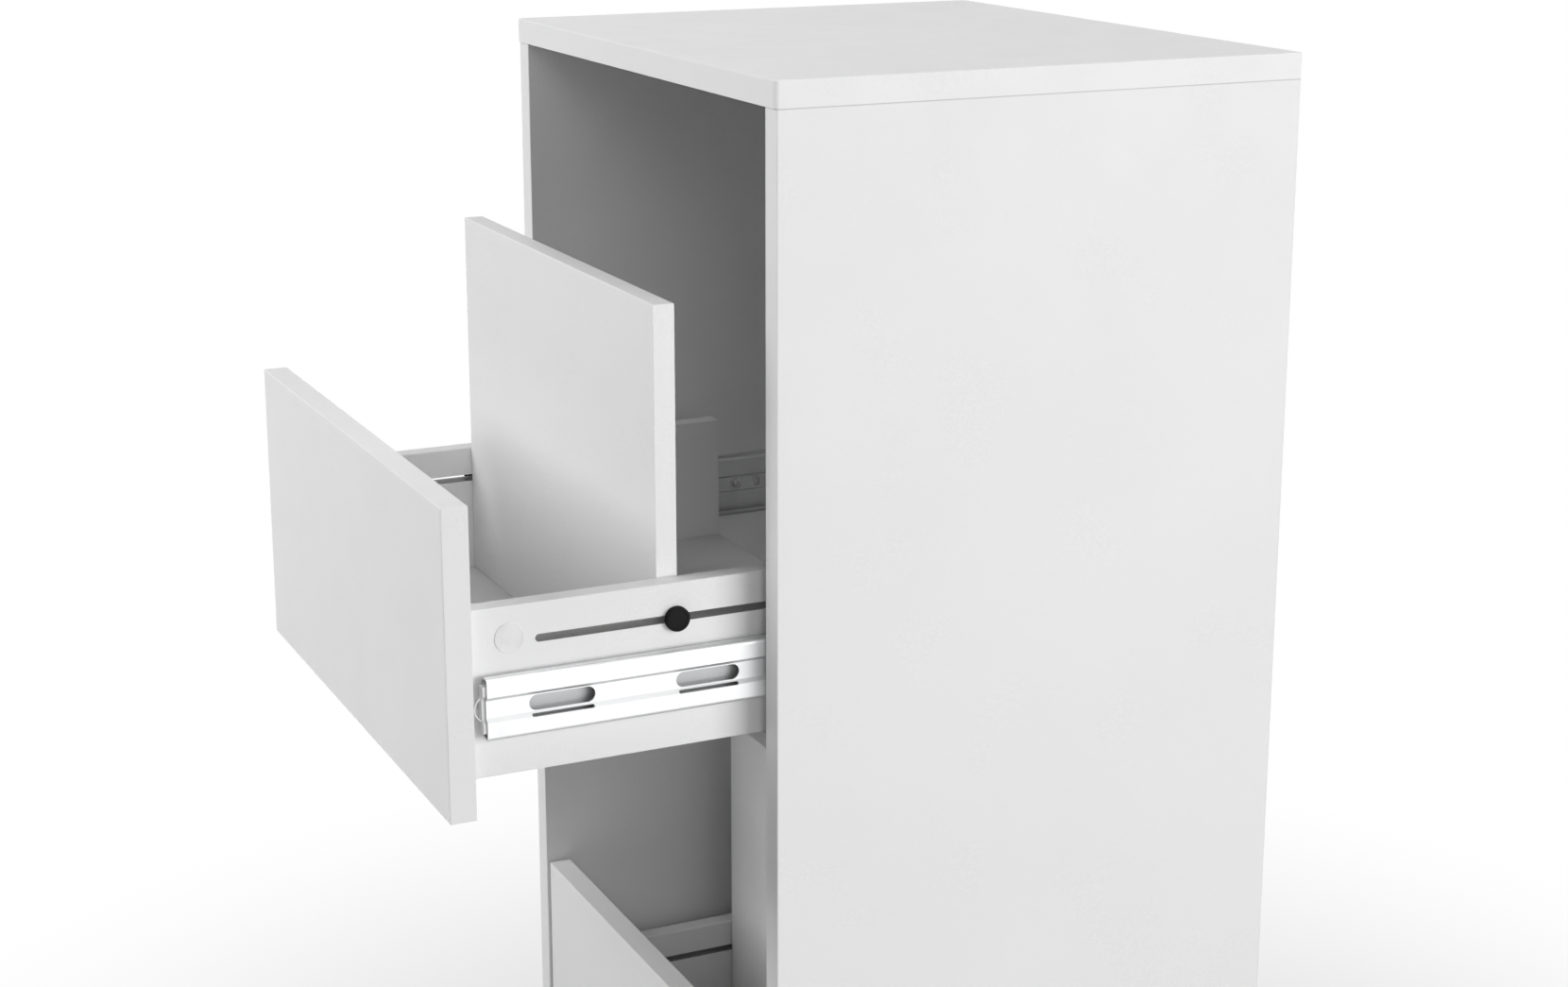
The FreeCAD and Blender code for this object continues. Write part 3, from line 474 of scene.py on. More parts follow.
@dataclass(frozen=True)
class Finishes:
    """All finishes that boards share or small pieces use."""

    foil: BoardFoil = BoardFoil()
    sheet: bpy.types.Material = None
    shade_painted_sheet: bpy.types.Material = None
    cage: bpy.types.Material = None
    ball: bpy.types.Material = None
    screw: bpy.types.Material = None
    cam: bpy.types.Material = None
    brass: bpy.types.Material = None
    white_plastic: bpy.types.Material = None
    cap_plastic: bpy.types.Material = None
    black_plastic: bpy.types.Material = None
    glide_plastic: bpy.types.Material = None
    beech: bpy.types.Material = None

    @staticmethod
    def prepare() -> "Finishes":
        """Make every shared material.

        Returns:
            The set of finishes.
        """
        return Finishes(
            sheet=RolledSteel("zinc_sheet").make(),
            # Painted shade: a darker, rougher copy of the zinc for the drawer rails, which sit in shade
            # behind the access slots.
            shade_painted_sheet=RolledSteel("dull_zinc_sheet", (0.42, 0.425, 0.43), 0.56).make(),
            cage=RolledSteel("cage_sheet", (0.70, 0.69, 0.66), 0.34).make(),
            ball=TurnedMetal("polished_balls", (0.80, 0.80, 0.81), 0.10, 0.03).make(),
            screw=TurnedMetal("zinc_screws", (0.66, 0.66, 0.67), 0.30).make(),
            cam=TurnedMetal("cast_zinc", (0.56, 0.56, 0.57), 0.42, 0.10).make(),
            brass=TurnedMetal("turned_brass", (0.72, 0.55, 0.27), 0.30).make(),
            white_plastic=MouldedPlastic("white_plastic", (0.80, 0.80, 0.80), 0.48, 0.4).make(),
            cap_plastic=MouldedPlastic("cap_plastic", (0.76, 0.76, 0.76), 0.50, 0.3).make(),
            black_plastic=MouldedPlastic("black_plastic", (0.006, 0.006, 0.0065), 0.62, 0.12).make(),
            glide_plastic=MouldedPlastic("glide_plastic", (0.60, 0.60, 0.59), 0.50).make(),
            beech=Beech().make(),
        )


# Modelling moves


class Bench:
    """Modelling moves that the pieces share."""

    @staticmethod
    def clear() -> None:
        """Leave edit mode and select nothing."""
        if bpy.context.mode != "OBJECT":
            bpy.ops.object.mode_set(mode="OBJECT")
        bpy.ops.object.select_all(action="DESELECT")

    @staticmethod
    def take(piece: bpy.types.Object) -> None:
        """Select one object alone and make it active.

        Args:
            piece: Object to take.
        """
        Bench.clear()
        piece.select_set(True)
        bpy.context.view_layer.objects.active = piece

    @staticmethod
    def settle(piece: bpy.types.Object) -> None:
        """Move an object's place, turn and size into its mesh.

        Args:
            piece: Object to settle.
        """
        Bench.take(piece)
        bpy.ops.object.transform_apply(location=True, rotation=True, scale=True)

    @staticmethod
    def rod(radius: float, start: float, end: float, vertices: int) -> bpy.types.Object:
        """Add a cylinder along X.

        Args:
            radius: Its radius.
            start: Lower X of its ends.
            end: Higher X of its ends.
            vertices: Sides of its outline.

        Returns:
            The new object.
        """
        Bench.clear()
        bpy.ops.mesh.primitive_cylinder_add(vertices=vertices, radius=radius, depth=end - start,
                                            location=((start + end) / 2, 0, 0),
                                            rotation=(0, math.pi / 2, 0))
        piece = bpy.context.active_object
        Bench.settle(piece)
        return piece

    @staticmethod
    def block(low: Vector, high: Vector) -> bpy.types.Object:
        """Add a box between two corners.

        Args:
            low: Lowest corner.
            high: Highest corner.

        Returns:
            The new object.
        """
        Bench.clear()
        bpy.ops.mesh.primitive_cube_add(size=1, location=(low + high) / 2, scale=high - low)
        piece = bpy.context.active_object
        Bench.settle(piece)
        return piece

    @staticmethod
    def pick(piece: bpy.types.Object, part: Part, wanted: Callable[[object], bool]) -> None:
        """Go to edit mode with only the faces or edges that pass a test selected.

        Args:
            piece: Object to edit.
            part: Whether faces or edges are picked.
            wanted: Test of a face or an edge.
        """
        Bench.take(piece)
        bpy.ops.object.mode_set(mode="EDIT")
        bpy.ops.mesh.select_mode(type=part.name)
        bpy.ops.mesh.select_all(action="DESELECT")
        mesh = bmesh.from_edit_mesh(piece.data)
        for element in getattr(mesh, part.value):
            element.select_set(wanted(element))
        bmesh.update_edit_mesh(piece.data)

    @staticmethod
    def soften(piece: bpy.types.Object, width: float, segments: int = 2, angle: float = 30.0) -> None:
        """Bevel all sharp edges of an object.

        Args:
            piece: Object to soften.
            width: Width of the bevel.
            segments: Its number of steps.
            angle: Least angle of an edge that counts as sharp, in degrees.
        """
        Bench.take(piece)
        bpy.ops.object.modifier_add(type="BEVEL")
        bevel = piece.modifiers[-1]
        bevel.width = width
        bevel.segments = segments
        bevel.limit_method = "ANGLE"
        bevel.angle_limit = math.radians(angle)
        bpy.ops.object.modifier_apply(modifier=bevel.name)

    @staticmethod
    def carve(piece: bpy.types.Object, tool: bpy.types.Object) -> None:
        """Cut one object's shape out of another and delete the tool.

        Args:
            piece: Object that stays.
            tool: Object whose shape is cut out.
        """
        Bench.take(piece)
        bpy.ops.object.modifier_add(type="BOOLEAN")
        cut = piece.modifiers[-1]
        cut.operation = "DIFFERENCE"
        cut.solver = "EXACT"
        cut.object = tool
        bpy.ops.object.modifier_apply(modifier=cut.name)
        bpy.data.objects.remove(tool)

    @staticmethod
    def copy(piece: bpy.types.Object, place: Matrix) -> bpy.types.Object:
        """Copy an object with a mesh of its own and carry the copy to its place.

        Args:
            piece: Object to copy.
            place: Where its mesh goes.

        Returns:
            The copy.
        """
        Bench.take(piece)
        bpy.ops.object.duplicate()
        twin = bpy.context.active_object
        twin.data.transform(place)
        if place.is_negative:
            twin.data.flip_normals()
        return twin

    @staticmethod
    def join(pieces: list[bpy.types.Object], name: str) -> bpy.types.Object:
        """Join objects into one.

        Args:
            pieces: Objects to join.
            name: Name of the result.

        Returns:
            The joined object.
        """
        Bench.take(pieces[0])
        for piece in pieces[1:]:
            piece.select_set(True)
        if len(pieces) > 1:
            bpy.ops.object.join()
        pieces[0].name = name
        pieces[0].data.name = name
        return pieces[0]

    @staticmethod
    def finish(piece: bpy.types.Object, body: str, slot: str, nodes: tuple[str, ...] = (),
               material: bpy.types.Material | None = None, angle: float = 35.0) -> None:
        """Smooth a piece, give it its finish and let it ride on its body.

        Args:
            piece: Piece to finish.
            body: Body that carries it.
            slot: Material slot of the record. Not used.
            nodes: CAD nodes that it stands for.
            material: Its material, where it has none yet.
            angle: Least angle that stays sharp, in degrees.
        """
        Bench.take(piece)
        bpy.ops.object.shade_smooth_by_angle(angle=math.radians(angle))
        if material:
            piece.data.materials.clear()
            piece.data.materials.append(material)
        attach(piece, body)
        if nodes:
            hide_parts(*nodes)
        log.info("%s rides on %s", piece.name, body)


def dress(node: str, material: bpy.types.Material) -> None:
    """Give a CAD node its finish.

    Args:
        node: Name of the node.
        material: Finish to give.
    """
    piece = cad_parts[node]
    if not piece.material_slots:
        piece.data.materials.append(material)
    for slot in piece.material_slots:
        slot.material = material
    log.info("%s gets %s", node, material.name)


def corners(node: str) -> tuple[Vector, Vector]:
    """Give the corners of a CAD node's box.

    Args:
        node: Name of the node.

    Returns:
        The lowest and the highest corner.
    """
    low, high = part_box(node)
    return Vector(low), Vector(high)


def facing(sign: float) -> Matrix:
    """Turn a piece that faces +X towards one side of the cabinet.

    Args:
        sign: Direction of the side along X.

    Returns:
        The turn.
    """
    return Matrix.Identity(4) if sign > 0 else Matrix.Rotation(math.pi, 4, "Z")


# Small hardware


@dataclass
class PanScrew:
    """Pan-head screw with a cross recess, its seat at the origin and its point along +X."""

    length: float
    head_diameter: float = 7.0 * MM
    head_height: float = 1.8 * MM
    shank_diameter: float = 3.5 * MM
    tip: float = 3.0 * MM
    pitch: float = 1.3 * MM
    recess_width: float = 0.75 * MM
    recess_reach: float = 3.9 * MM
    recess_depth: float = 1.1 * MM
    recess_taper: tuple[float, float, float] = (1.0, 0.55, 0.8)
    dome: float = 0.95 * MM
    core_share: float = 0.78
    point_share: float = 0.08

    def model_head(self) -> bpy.types.Object:
        """Model the domed head with its recess.

        Returns:
            The head.
        """
        head = Bench.rod(self.head_diameter / 2, -self.head_height, 0.0, 28)
        top = -self.head_height
        Bench.pick(head, Part.EDGE, lambda edge: all(vert.co.x < top + 1e-6 for vert in edge.verts))
        bpy.ops.mesh.bevel(offset=self.dome, segments=4, profile=0.6)
        bpy.ops.object.mode_set(mode="OBJECT")
        long_half = self.recess_reach / 2
        for turn in (45.0, 135.0):
            tool = Bench.block(Vector((top - MM, -long_half, -self.recess_width / 2)),
                               Vector((top + self.recess_depth, long_half, self.recess_width / 2)))
            Bench.pick(tool, Part.FACE, lambda face: face.normal.x > 0.5)
            bpy.ops.transform.resize(value=self.recess_taper)
            bpy.ops.object.mode_set(mode="OBJECT")
            tool.data.transform(Matrix.Rotation(math.radians(turn), 4, "X"))
            Bench.carve(head, tool)
        return head

    def model_shank(self) -> bpy.types.Object:
        """Model the shank with the ridges of its thread and its point.

        Returns:
            The shank.
        """
        core = self.core_share * self.shank_diameter / 2
        Bench.clear()
        bpy.ops.mesh.primitive_circle_add(vertices=14, radius=core, fill_type="NGON",
                                          rotation=(0, math.pi / 2, 0))
        shank = bpy.context.active_object
        Bench.settle(shank)
        Bench.take(shank)
        bpy.ops.object.mode_set(mode="EDIT")
        bpy.ops.mesh.select_all(action="SELECT")
        turns = int((self.length - self.tip) / self.pitch)
        step = (self.length - self.tip) / (2 * turns)
        for _ in range(turns):
            for factor in (1 / self.core_share, self.core_share):
                bpy.ops.mesh.extrude_region_move(TRANSFORM_OT_translate={"value": (step, 0, 0)})
                bpy.ops.transform.resize(value=(1.0, factor, factor))
        bpy.ops.mesh.extrude_region_move(TRANSFORM_OT_translate={"value": (0.96 * self.tip, 0, 0)})
        bpy.ops.transform.resize(value=(1.0, self.point_share, self.point_share))
        bpy.ops.mesh.select_all(action="SELECT")
        bpy.ops.mesh.normals_make_consistent(inside=False)
        bpy.ops.object.mode_set(mode="OBJECT")
        return shank

    def model(self) -> bpy.types.Object:
        """Model the whole screw.

        Returns:
            The screw.
        """
        return Bench.join([self.model_head(), self.model_shank()], "screw")


@dataclass
class KnobHead:
    """Flat clamping knob with a finely ribbed rim, its inner face at the origin and its outer face to +X."""

    diameter: float
    height: float
    ribs: int = 40
    rib_depth: float = 0.16 * MM
    rib_gap: float = 0.12 * MM
    rim: float = 1.6 * MM
    slope: float = 0.35 * MM
    hollow: float = 3.2 * MM
    dish: float = 0.30 * MM
    rounding: float = 0.45 * MM

    def model(self) -> bpy.types.Object:
        """Model the knob.

        Returns:
            The knob.
        """
        knob = Bench.rod(self.diameter / 2 - self.rib_depth, 0.0, self.height, 2 * self.ribs)
        Bench.pick(knob, Part.FACE, lambda face: face.normal.x > 0.9)
        bpy.ops.mesh.inset(thickness=self.rim)
        bpy.ops.mesh.inset(thickness=self.slope)
        bpy.ops.transform.translate(value=(-self.dish, 0, 0))
        bpy.ops.mesh.inset(thickness=self.hollow)
        bpy.ops.transform.translate(value=(0.5 * self.dish, 0, 0))
        bpy.ops.object.mode_set(mode="OBJECT")
        near_top = self.height - 1e-6
        near_rim = self.diameter / 2 - 2 * self.rib_depth
        Bench.pick(knob, Part.EDGE, lambda edge: all(vert.co.x > near_top and vert.co.yz.length > near_rim
                                                     for vert in edge.verts))
        bpy.ops.mesh.bevel(offset=self.rounding, segments=3)
        bpy.ops.object.mode_set(mode="OBJECT")
        step = math.tau / (2 * self.ribs)

        def is_rib(face: bmesh.types.BMFace) -> bool:
            """Tell whether a face is every second face of the rim."""
            middle = face.calc_center_median()
            turn = round(math.atan2(middle.z, middle.y) / step - 0.5)
            return abs(face.normal.x) < 0.1 and turn % 2 == 0

        Bench.pick(knob, Part.FACE, is_rib)
        bpy.ops.mesh.inset(thickness=self.rib_gap, use_individual=True)
        bpy.ops.transform.shrink_fatten(value=self.rib_depth)
        bpy.ops.object.mode_set(mode="OBJECT")
        return knob


@dataclass
class CoverCap:
    """Thin cap over a cam fitting, its inner face at the origin and its outer face along +X."""

    diameter: float
    thickness: float
    rim: float = 0.9 * MM
    groove: float = 0.25 * MM
    dish: float = 0.03 * MM
    rounding: float = 0.10 * MM

    def model(self) -> bpy.types.Object:
        """Model the cap.

        Returns:
            The cap.
        """
        cap = Bench.rod(self.diameter / 2, 0.0, self.thickness, 48)
        Bench.pick(cap, Part.FACE, lambda face: face.normal.x > 0.9)
        bpy.ops.mesh.inset(thickness=self.rim)
        bpy.ops.mesh.inset(thickness=self.groove)
        bpy.ops.transform.translate(value=(-self.dish, 0, 0))
        bpy.ops.object.mode_set(mode="OBJECT")
        Bench.soften(cap, self.rounding, angle=50.0)
        return cap


@dataclass
class BallCage:
    """Two strips of sheet with a full row of balls each, above and below a slide's middle line."""

    width: float
    ball_inset: float
    sheet: float = 0.8 * MM
    ball_diameter: float = 3.2 * MM
    ball_pitch: float = 6.4 * MM
    end: float = 5.0 * MM
    edge: float = 0.5 * MM
    rounding: float = 0.15 * MM

    def model_strip(self, low: Vector, high: Vector, steel: bpy.types.Material) -> bpy.types.Object:
        """Model one strip with rolled edges.

        Args:
            low: Lowest corner.
            high: Highest corner.
            steel: Its finish.

        Returns:
            The strip.
        """
        strip = Bench.block(low, high)
        Bench.pick(strip, Part.FACE, lambda face: abs(face.normal.z) > 0.9)
        bpy.ops.mesh.inset(thickness=self.edge, use_individual=True)
        bpy.ops.transform.resize(value=(1.0, 1.0, 0.82))
        bpy.ops.object.mode_set(mode="OBJECT")
        Bench.soften(strip, self.rounding)
        strip.data.materials.append(steel)
        return strip

    def model_balls(self, start: Vector, length: float, polish: bpy.types.Material) -> list[bpy.types.Object]:
        """Model a row of balls along +Y.

        Args:
            start: Centre of the first ball.
            length: Distance between the first ball's centre and the last.
            polish: Their finish.

        Returns:
            The balls.
        """
        Bench.clear()
        bpy.ops.mesh.primitive_ico_sphere_add(subdivisions=2, radius=self.ball_diameter / 2)
        ball = bpy.context.active_object
        ball.data.materials.append(polish)
        bpy.ops.object.shade_smooth()
        steps = round(length / self.ball_pitch)
        places = [start + Vector((0, length * i / steps, 0)) for i in range(steps + 1)]
        balls = [Bench.copy(ball, Matrix.Translation(place)) for place in places]
        bpy.data.objects.remove(ball)
        return balls

    def model(self, node: str, finishes: Finishes) -> bpy.types.Object:
        """Model the cages of both sides of a drawer where their CAD node lies.

        Args:
            node: Name of the CAD node.
            finishes: The set of finishes.

        Returns:
            The cages.
        """
        low, high = corners(node)
        parts = []
        for _, sign in SIDES:
            wall = high.x if sign > 0 else low.x
            inner = wall - sign * self.width
            for centre in (low.z + self.ball_diameter / 2, high.z - self.ball_diameter / 2):
                corner = Vector((min(wall, inner), low.y, centre - self.sheet / 2))
                opposite = Vector((max(wall, inner), high.y, centre + self.sheet / 2))
                parts.append(self.model_strip(corner, opposite, finishes.cage))
                start = Vector((wall - sign * self.ball_inset, low.y + self.end, centre))
                parts += self.model_balls(start, high.y - low.y - 2 * self.end, finishes.ball)
        return Bench.join(parts, f"{node}_full")


# Sub-assemblies


@dataclass
class Carcass:
    """Top, sides, base and back with their dowels and glides."""

    boards: dict[str, Axis] = field(default_factory=lambda: {
        "top_panel": Axis.Z,
        "left_side_panel": Axis.X,
        "right_side_panel": Axis.X,
        "base_panel": Axis.Z,
        "back_panel": Axis.Y,
    })

    def dress_boards(self, finishes: Finishes) -> None:
        """Give every board its foil.

        Args:
            finishes: The set of finishes.
        """
        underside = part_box("top_panel")[0][2]
        for board, thickness in self.boards.items():
            seam_height = underside if board.endswith("side_panel") else None
            dress(board, finishes.foil.make(board, thickness, seam_height))

    def build(self, finishes: Finishes) -> None:
        """Dress the carcass.

        Args:
            finishes: The set of finishes.
        """
        self.dress_boards(finishes)
        dress("carcass_dowels", finishes.beech)
        dress("glides", finishes.glide_plastic)


@dataclass
class SlideSet:
    """Ball-bearing slides of one drawer: rails, cages, buffers and screws."""

    level: str
    screws_per_rail: int = 3
    wall_seat: float = 2.1 * MM
    drawer_seat: float = 1.2 * MM
    wall_screw: PanScrew = field(default_factory=lambda: PanScrew(13.0 * MM))
    drawer_screw: PanScrew = field(default_factory=lambda: PanScrew(10.0 * MM))
    outer_cage: BallCage = field(default_factory=lambda: BallCage(4.9 * MM, 3.4 * MM))
    inner_cage: BallCage = field(default_factory=lambda: BallCage(6.2 * MM, 4.7 * MM))
    buffer_rounding: float = 0.15 * MM

    def dress_rails(self, finishes: Finishes) -> None:
        """Give the three members of both slides their zinc finish; the drawer's own rail gets a rougher,
        darker copy with painted shade.

        Args:
            finishes: The set of finishes.
        """
        for side, _ in SIDES:
            dress(f"{self.level}_{side}_cabinet_rail", finishes.sheet)
            dress(f"{self.level}_{side}_middle_rail", finishes.sheet)
            dress(f"{self.level}_{side}_drawer_rail", finishes.shade_painted_sheet)

    def build_cages(self, finishes: Finishes) -> None:
        """Model the cages with their full rows of balls.

        Args:
            finishes: The set of finishes.
        """
        for stage, cage in (("outer", self.outer_cage), ("inner", self.inner_cage)):
            node = f"{self.level}_{stage}_ball_cages"
            piece = cage.model(node, finishes)
            Bench.finish(piece, f"{self.level}_{stage}_cages", "ball_steel", (node,))

    def build_buffers(self, finishes: Finishes) -> None:
        """Round the edges of the soft buffers.

        Args:
            finishes: The set of finishes.
        """
        node = f"{self.level}_rail_buffers"
        piece = Bench.copy(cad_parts[node], Matrix.Identity(4))
        piece.parent = None
        for key in list(piece.keys()):
            del piece[key]
        Bench.pick(piece, Part.FACE, lambda face: True)
        bpy.ops.mesh.remove_doubles(threshold=0.005 * MM)
        bpy.ops.mesh.dissolve_limited(angle_limit=math.radians(0.5))
        bpy.ops.object.mode_set(mode="OBJECT")
        Bench.soften(piece, self.buffer_rounding)
        Bench.join([piece], f"{node}_rounded")
        Bench.finish(piece, f"{self.level}_drawer", "white_plastic", (node,), finishes.white_plastic)

    def screw_places(self, box_low: Vector, box_high: Vector) -> list[float]:
        """Find the Y of the screws of a rail from the box that holds them.

        Args:
            box_low: Lowest corner of the screws' box.
            box_high: Highest corner.

        Returns:
            The places along Y.
        """
        radius = self.wall_screw.head_diameter / 2
        first = box_low.y + radius
        span = box_high.y - box_low.y - 2 * radius
        return [first + span * i / (self.screws_per_rail - 1) for i in range(self.screws_per_rail)]

    def build_drawer_screws(self, finishes: Finishes) -> None:
        """Set the screws of the drawer rails, with their heads in the rails.

        Args:
            finishes: The set of finishes.
        """
        node = f"{self.level}_drawer_rail_screws"
        low, high = corners(node)
        rail_low, _ = corners(f"{self.level}_right_drawer_rail")
        seat = rail_low.x + self.drawer_seat
        screw = self.drawer_screw.model()
        copies = []
        for _, sign in SIDES:
            for y in self.screw_places(low, high):
                place = Matrix.Translation((sign * seat, y, (low.z + high.z) / 2)) @ facing(-sign)
                copies.append(Bench.copy(screw, place))
        bpy.data.objects.remove(screw)
        piece = Bench.join(copies, f"{node}_crossed")
        Bench.finish(piece, f"{self.level}_drawer", "screw_steel", (node,), finishes.screw)

    def build(self, finishes: Finishes) -> None:
        """Dress and model the slides of the drawer.

        Args:
            finishes: The set of finishes.
        """
        self.dress_rails(finishes)
        self.build_cages(finishes)
        self.build_buffers(finishes)
        self.build_drawer_screws(finishes)


@dataclass
class WallScrews:
    """Screws that hold the cabinet rails of all drawers."""

    slides: SlideSet
    node: str = "cabinet_rail_screws"

    def build(self, finishes: Finishes) -> None:
        """Set the screws with their heads in the cabinet rails.

        Args:
            finishes: The set of finishes.
        """
        low, high = corners(self.node)
        _, rail_high = corners("upper_right_cabinet_rail")
        seat = rail_high.x - self.slides.wall_seat
        radius = self.slides.wall_screw.head_diameter / 2
        screw = self.slides.wall_screw.model()
        copies = []
        for _, sign in SIDES:
            for y in self.slides.screw_places(low, high):
                for z in (low.z + radius, high.z - radius):
                    copies.append(Bench.copy(screw, Matrix.Translation((sign * seat, y, z)) @ facing(sign)))
        bpy.data.objects.remove(screw)
        piece = Bench.join(copies, f"{self.node}_crossed")
        Bench.finish(piece, "carcass", "screw_steel", (self.node,), finishes.screw)


@dataclass
class DrawerBox:
    """Front, sides and floor of one drawer with its fittings."""

    level: str
    boards: dict[str, Axis] = field(default_factory=lambda: {
        "drawer_front": Axis.Y,
        "drawer_left_side": Axis.X,
        "drawer_right_side": Axis.X,
        "drawer_floor": Axis.Z,
    })

    def build_caps(self, finishes: Finishes) -> None:
        """Model the cover caps of the cam fittings.

        Args:
            finishes: The set of finishes.
        """
        node = f"{self.level}_drawer_cam_caps"
        low, high = corners(node)
        _, side_high = corners(f"{self.level}_drawer_right_side")
        cap = CoverCap(high.z - low.z, high.x - side_high.x).model()
        copies = []
        for _, sign in SIDES:
            place = Matrix.Translation((sign * side_high.x, (low.y + high.y) / 2, (low.z + high.z) / 2))
            copies.append(Bench.copy(cap, place @ facing(sign)))
        bpy.data.objects.remove(cap)
        piece = Bench.join(copies, f"{node}_rimmed")
        Bench.finish(piece, f"{self.level}_drawer", "white_plastic", (node,), finishes.cap_plastic)

    def build(self, finishes: Finishes) -> None:
        """Dress the drawer and model its caps.

        Args:
            finishes: The set of finishes.
        """
        for board, thickness in self.boards.items():
            node = f"{self.level}_{board}"
            dress(node, finishes.foil.make(node, thickness))
        dress(f"{self.level}_drawer_cams", finishes.cam)
        dress(f"{self.level}_drawer_cam_bolts", finishes.screw)
        dress(f"{self.level}_drawer_dowels", finishes.beech)
        self.build_caps(finishes)


@dataclass
class Divider:
    """Upright board of one drawer with its inserts and clamping knobs."""

    level: str

    def build_knob(self, side: str, sign: float, finishes: Finishes) -> None:
        """Model one knob head.

        Args:
            side: Side of the drawer, left or right.
            sign: Direction of that side along X.
            finishes: The set of finishes.
        """
        node = f"{self.level}_{side}_knob_head"
        low, high = corners(node)
        knob = KnobHead(high.z - low.z, high.x - low.x).model()
        inner = low.x if sign > 0 else high.x
        place = Matrix.Translation((inner, (low.y + high.y) / 2, (low.z + high.z) / 2))
        knob.data.transform(place @ facing(sign))
        Bench.join([knob], f"{node}_ribbed")
        Bench.finish(knob, f"{self.level}_{side}_knob", "black_plastic", (node,), finishes.black_plastic)

    def build(self, finishes: Finishes) -> None:
        """Dress the divider and model its knobs.

        Args:
            finishes: The set of finishes.
        """
        board = f"{self.level}_divider_board"
        dress(board, finishes.foil.make(board, Axis.Y))
        dress(f"{self.level}_divider_nuts", finishes.brass)
        for side, sign in SIDES:
            dress(f"{self.level}_{side}_knob_stud", finishes.screw)
            self.build_knob(side, sign, finishes)


# Studio


@dataclass(frozen=True)
class Softbox:
    """Rectangular lamp that looks at the object."""

    name: str
    place: tuple[float, float, float]
    width: float
    height: float
    watts: float
    target: tuple[float, float, float] = (0.0, -0.05, 0.5)

    def hang(self) -> None:
        """Add the lamp to the scene."""
        data = bpy.data.lights.new(self.name, "AREA")
        data.shape = "RECTANGLE"
        data.size = self.width
        data.size_y = self.height
        data.energy = self.watts
        lamp = bpy.data.objects.new(self.name, data)
        bpy.context.scene.collection.objects.link(lamp)
        lamp.location = self.place
        direction = Vector(self.target) - Vector(self.place)
        lamp.rotation_euler = direction.to_track_quat("-Z", "Y").to_euler()


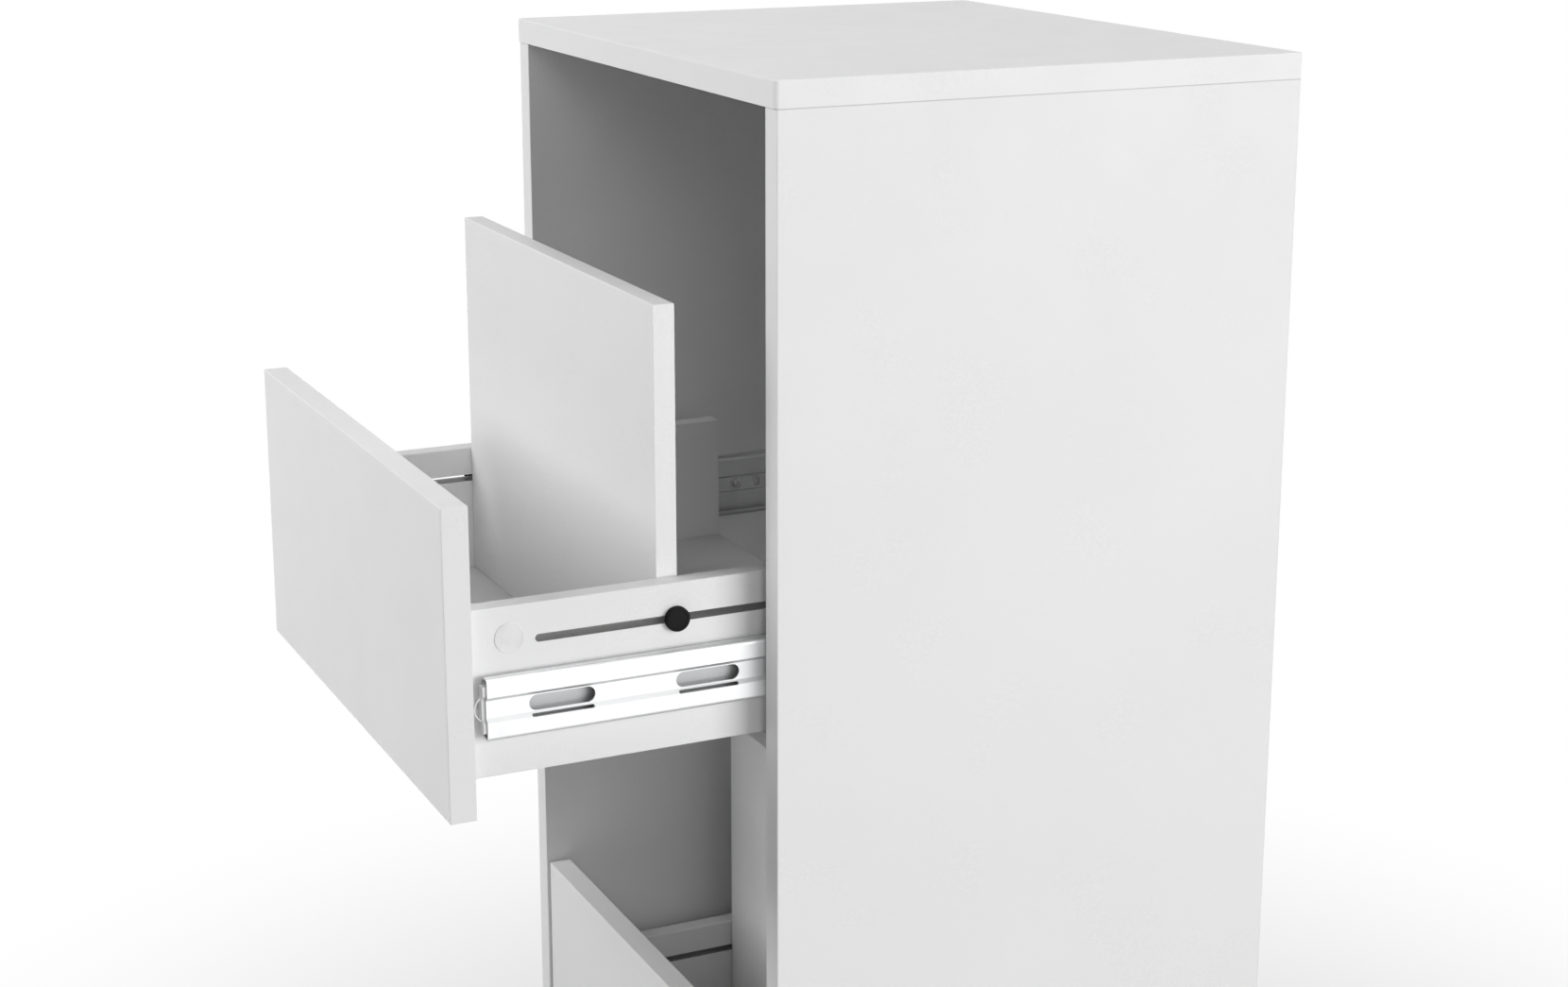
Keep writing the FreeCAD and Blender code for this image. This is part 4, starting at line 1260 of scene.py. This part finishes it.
@dataclass
class Studio:
    """White floor and backdrop, soft lamps and the camera of the photograph."""

    camera_place: tuple[float, float, float] = (1.51096, -0.78864, 0.99591)
    yaw: float = 25.28
    pitch: float = 13.92
    image_width: float = 1660.0
    image_height: float = 1045.0
    focal_pixels: float = 2751.7
    centre_x: float = 826.58
    centre_y: float = 445.07
    sensor: float = 36.0
    ambient: float = 0.05
    floor_size: float = 14.0
    floor_albedo: float = 0.50
    floor_glow: float = 0.6
    floor_near: float = 0.2
    floor_clear: float = 0.9
    floor_gap: float = 0.3 * MM
    lamps: tuple[Softbox, ...] = (
        Softbox("side_softbox", (4.0, 1.85, 1.3), 2.9, 2.3, 138.0),
        Softbox("front_softbox", (-0.8, -2.4, 1.9), 1.6, 1.6, 55.0),
        Softbox("edge_softbox", (3.8, -1.1, 1.8), 1.2, 1.2, 25.0),
        Softbox("rear_softbox", (-3.2, 2.6, 0.42), 2.6, 0.7, 70.0, (0.0, 0.0, 0.42)),
        Softbox("top_softbox", (0.0, 0.4, 2.9), 1.6, 1.6, 18.5),
    )

    @staticmethod
    def seen_directly(tree: bpy.types.NodeTree) -> bpy.types.NodeSocket:
        """Tell camera, glossy and transmitted rays from the rays that carry light.

        Args:
            tree: Node tree of a material or of the world.

        Returns:
            1 for what is seen, 0 for what lights.
        """
        path = tree.nodes.new("ShaderNodeLightPath")
        total = path.outputs["Is Camera Ray"]
        for name in ("Is Glossy Ray", "Is Transmission Ray"):
            node = tree.nodes.new("ShaderNodeMath")
            node.operation = "MAXIMUM"
            tree.links.new(total, node.inputs[0])
            tree.links.new(path.outputs[name], node.inputs[1])
            total = node.outputs[0]
        return total

    def fill_world(self) -> None:
        """Make the surroundings white to the eye and softer as a light."""
        world = bpy.data.worlds.new("studio_white")
        bpy.context.scene.world = world
        world.use_nodes = True
        tree = world.node_tree
        tree.nodes.clear()
        output = tree.nodes.new("ShaderNodeOutputWorld")
        mix = tree.nodes.new("ShaderNodeMixShader")
        tree.links.new(self.seen_directly(tree), mix.inputs[0])
        for index, strength in ((1, self.ambient), (2, 1.0)):
            background = tree.nodes.new("ShaderNodeBackground")
            background.inputs["Color"].default_value = (1.0, 1.0, 1.0, 1.0)
            background.inputs["Strength"].default_value = strength
            tree.links.new(background.outputs[0], mix.inputs[index])
        tree.links.new(mix.outputs[0], output.inputs["Surface"])

    def lay_floor(self) -> None:
        """Lay a white floor that keeps the object's shadow."""
        Bench.clear()
        bpy.ops.mesh.primitive_plane_add(size=self.floor_size, location=(0, 0, -self.floor_gap))
        Bench.settle(bpy.context.active_object)
        floor = bpy.context.active_object
        floor.name = "studio_floor"
        material = bpy.data.materials.new("studio_floor")
        material.use_nodes = True
        tree = material.node_tree
        tree.nodes.clear()
        output = tree.nodes.new("ShaderNodeOutputMaterial")
        matt = tree.nodes.new("ShaderNodeBsdfDiffuse")
        matt.inputs["Color"].default_value = (self.floor_albedo,) * 3 + (1.0,)
        glow = tree.nodes.new("ShaderNodeEmission")
        mix = tree.nodes.new("ShaderNodeMixShader")
        length = tree.nodes.new("ShaderNodeVectorMath")
        length.operation = "LENGTH"
        tree.links.new(tree.nodes.new("ShaderNodeTexCoord").outputs["Object"], length.inputs[0])
        clearing = tree.nodes.new("ShaderNodeMapRange")
        clearing.interpolation_type = "SMOOTHSTEP"
        for name, value in (("From Min", self.floor_near), ("From Max", self.floor_clear),
                            ("To Min", self.floor_glow), ("To Max", 1.0)):
            clearing.inputs[name].default_value = value
        tree.links.new(length.outputs["Value"], clearing.inputs["Value"])
        share = tree.nodes.new("ShaderNodeMath")
        share.operation = "MULTIPLY"
        tree.links.new(clearing.outputs["Result"], share.inputs[1])
        tree.links.new(self.seen_directly(tree), share.inputs[0])
        tree.links.new(share.outputs[0], mix.inputs[0])
        tree.links.new(matt.outputs[0], mix.inputs[1])
        tree.links.new(glow.outputs[0], mix.inputs[2])
        tree.links.new(mix.outputs[0], output.inputs["Surface"])
        floor.data.materials.append(material)

    def set_camera(self) -> None:
        """Stand the camera where the photograph was taken."""
        data = bpy.data.cameras.new("photo_camera")
        data.sensor_width = self.sensor
        data.lens = self.focal_pixels / self.image_width * self.sensor
        data.shift_x = (self.image_width / 2 - self.centre_x) / self.image_width
        data.shift_y = (self.centre_y - self.image_height / 2) / self.image_width
        camera = bpy.data.objects.new("photo_camera", data)
        bpy.context.scene.collection.objects.link(camera)
        camera.location = self.camera_place
        yaw, pitch = math.radians(self.yaw), math.radians(self.pitch)
        forward = Vector((-math.cos(yaw) * math.cos(pitch), math.sin(yaw) * math.cos(pitch),
                          -math.sin(pitch)))
        camera.rotation_euler = forward.to_track_quat("-Z", "Y").to_euler()
        bpy.context.scene.camera = camera

    def build(self) -> None:
        """Set up the whole studio."""
        self.fill_world()
        self.lay_floor()
        for lamp in self.lamps:
            lamp.hang()
        self.set_camera()
        bpy.context.scene.view_settings.view_transform = "Standard"


def main() -> None:
    """Dress and model the drawer unit and set up the studio."""
    logging.basicConfig(level=logging.INFO)
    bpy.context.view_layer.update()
    finishes = Finishes.prepare()
    Carcass().build(finishes)
    for level in LEVELS:
        SlideSet(level).build(finishes)
        DrawerBox(level).build(finishes)
        Divider(level).build(finishes)
    WallScrews(SlideSet("upper")).build(finishes)
    Studio().build()
    Bench.clear()


if __name__ == "__main__":
    main()
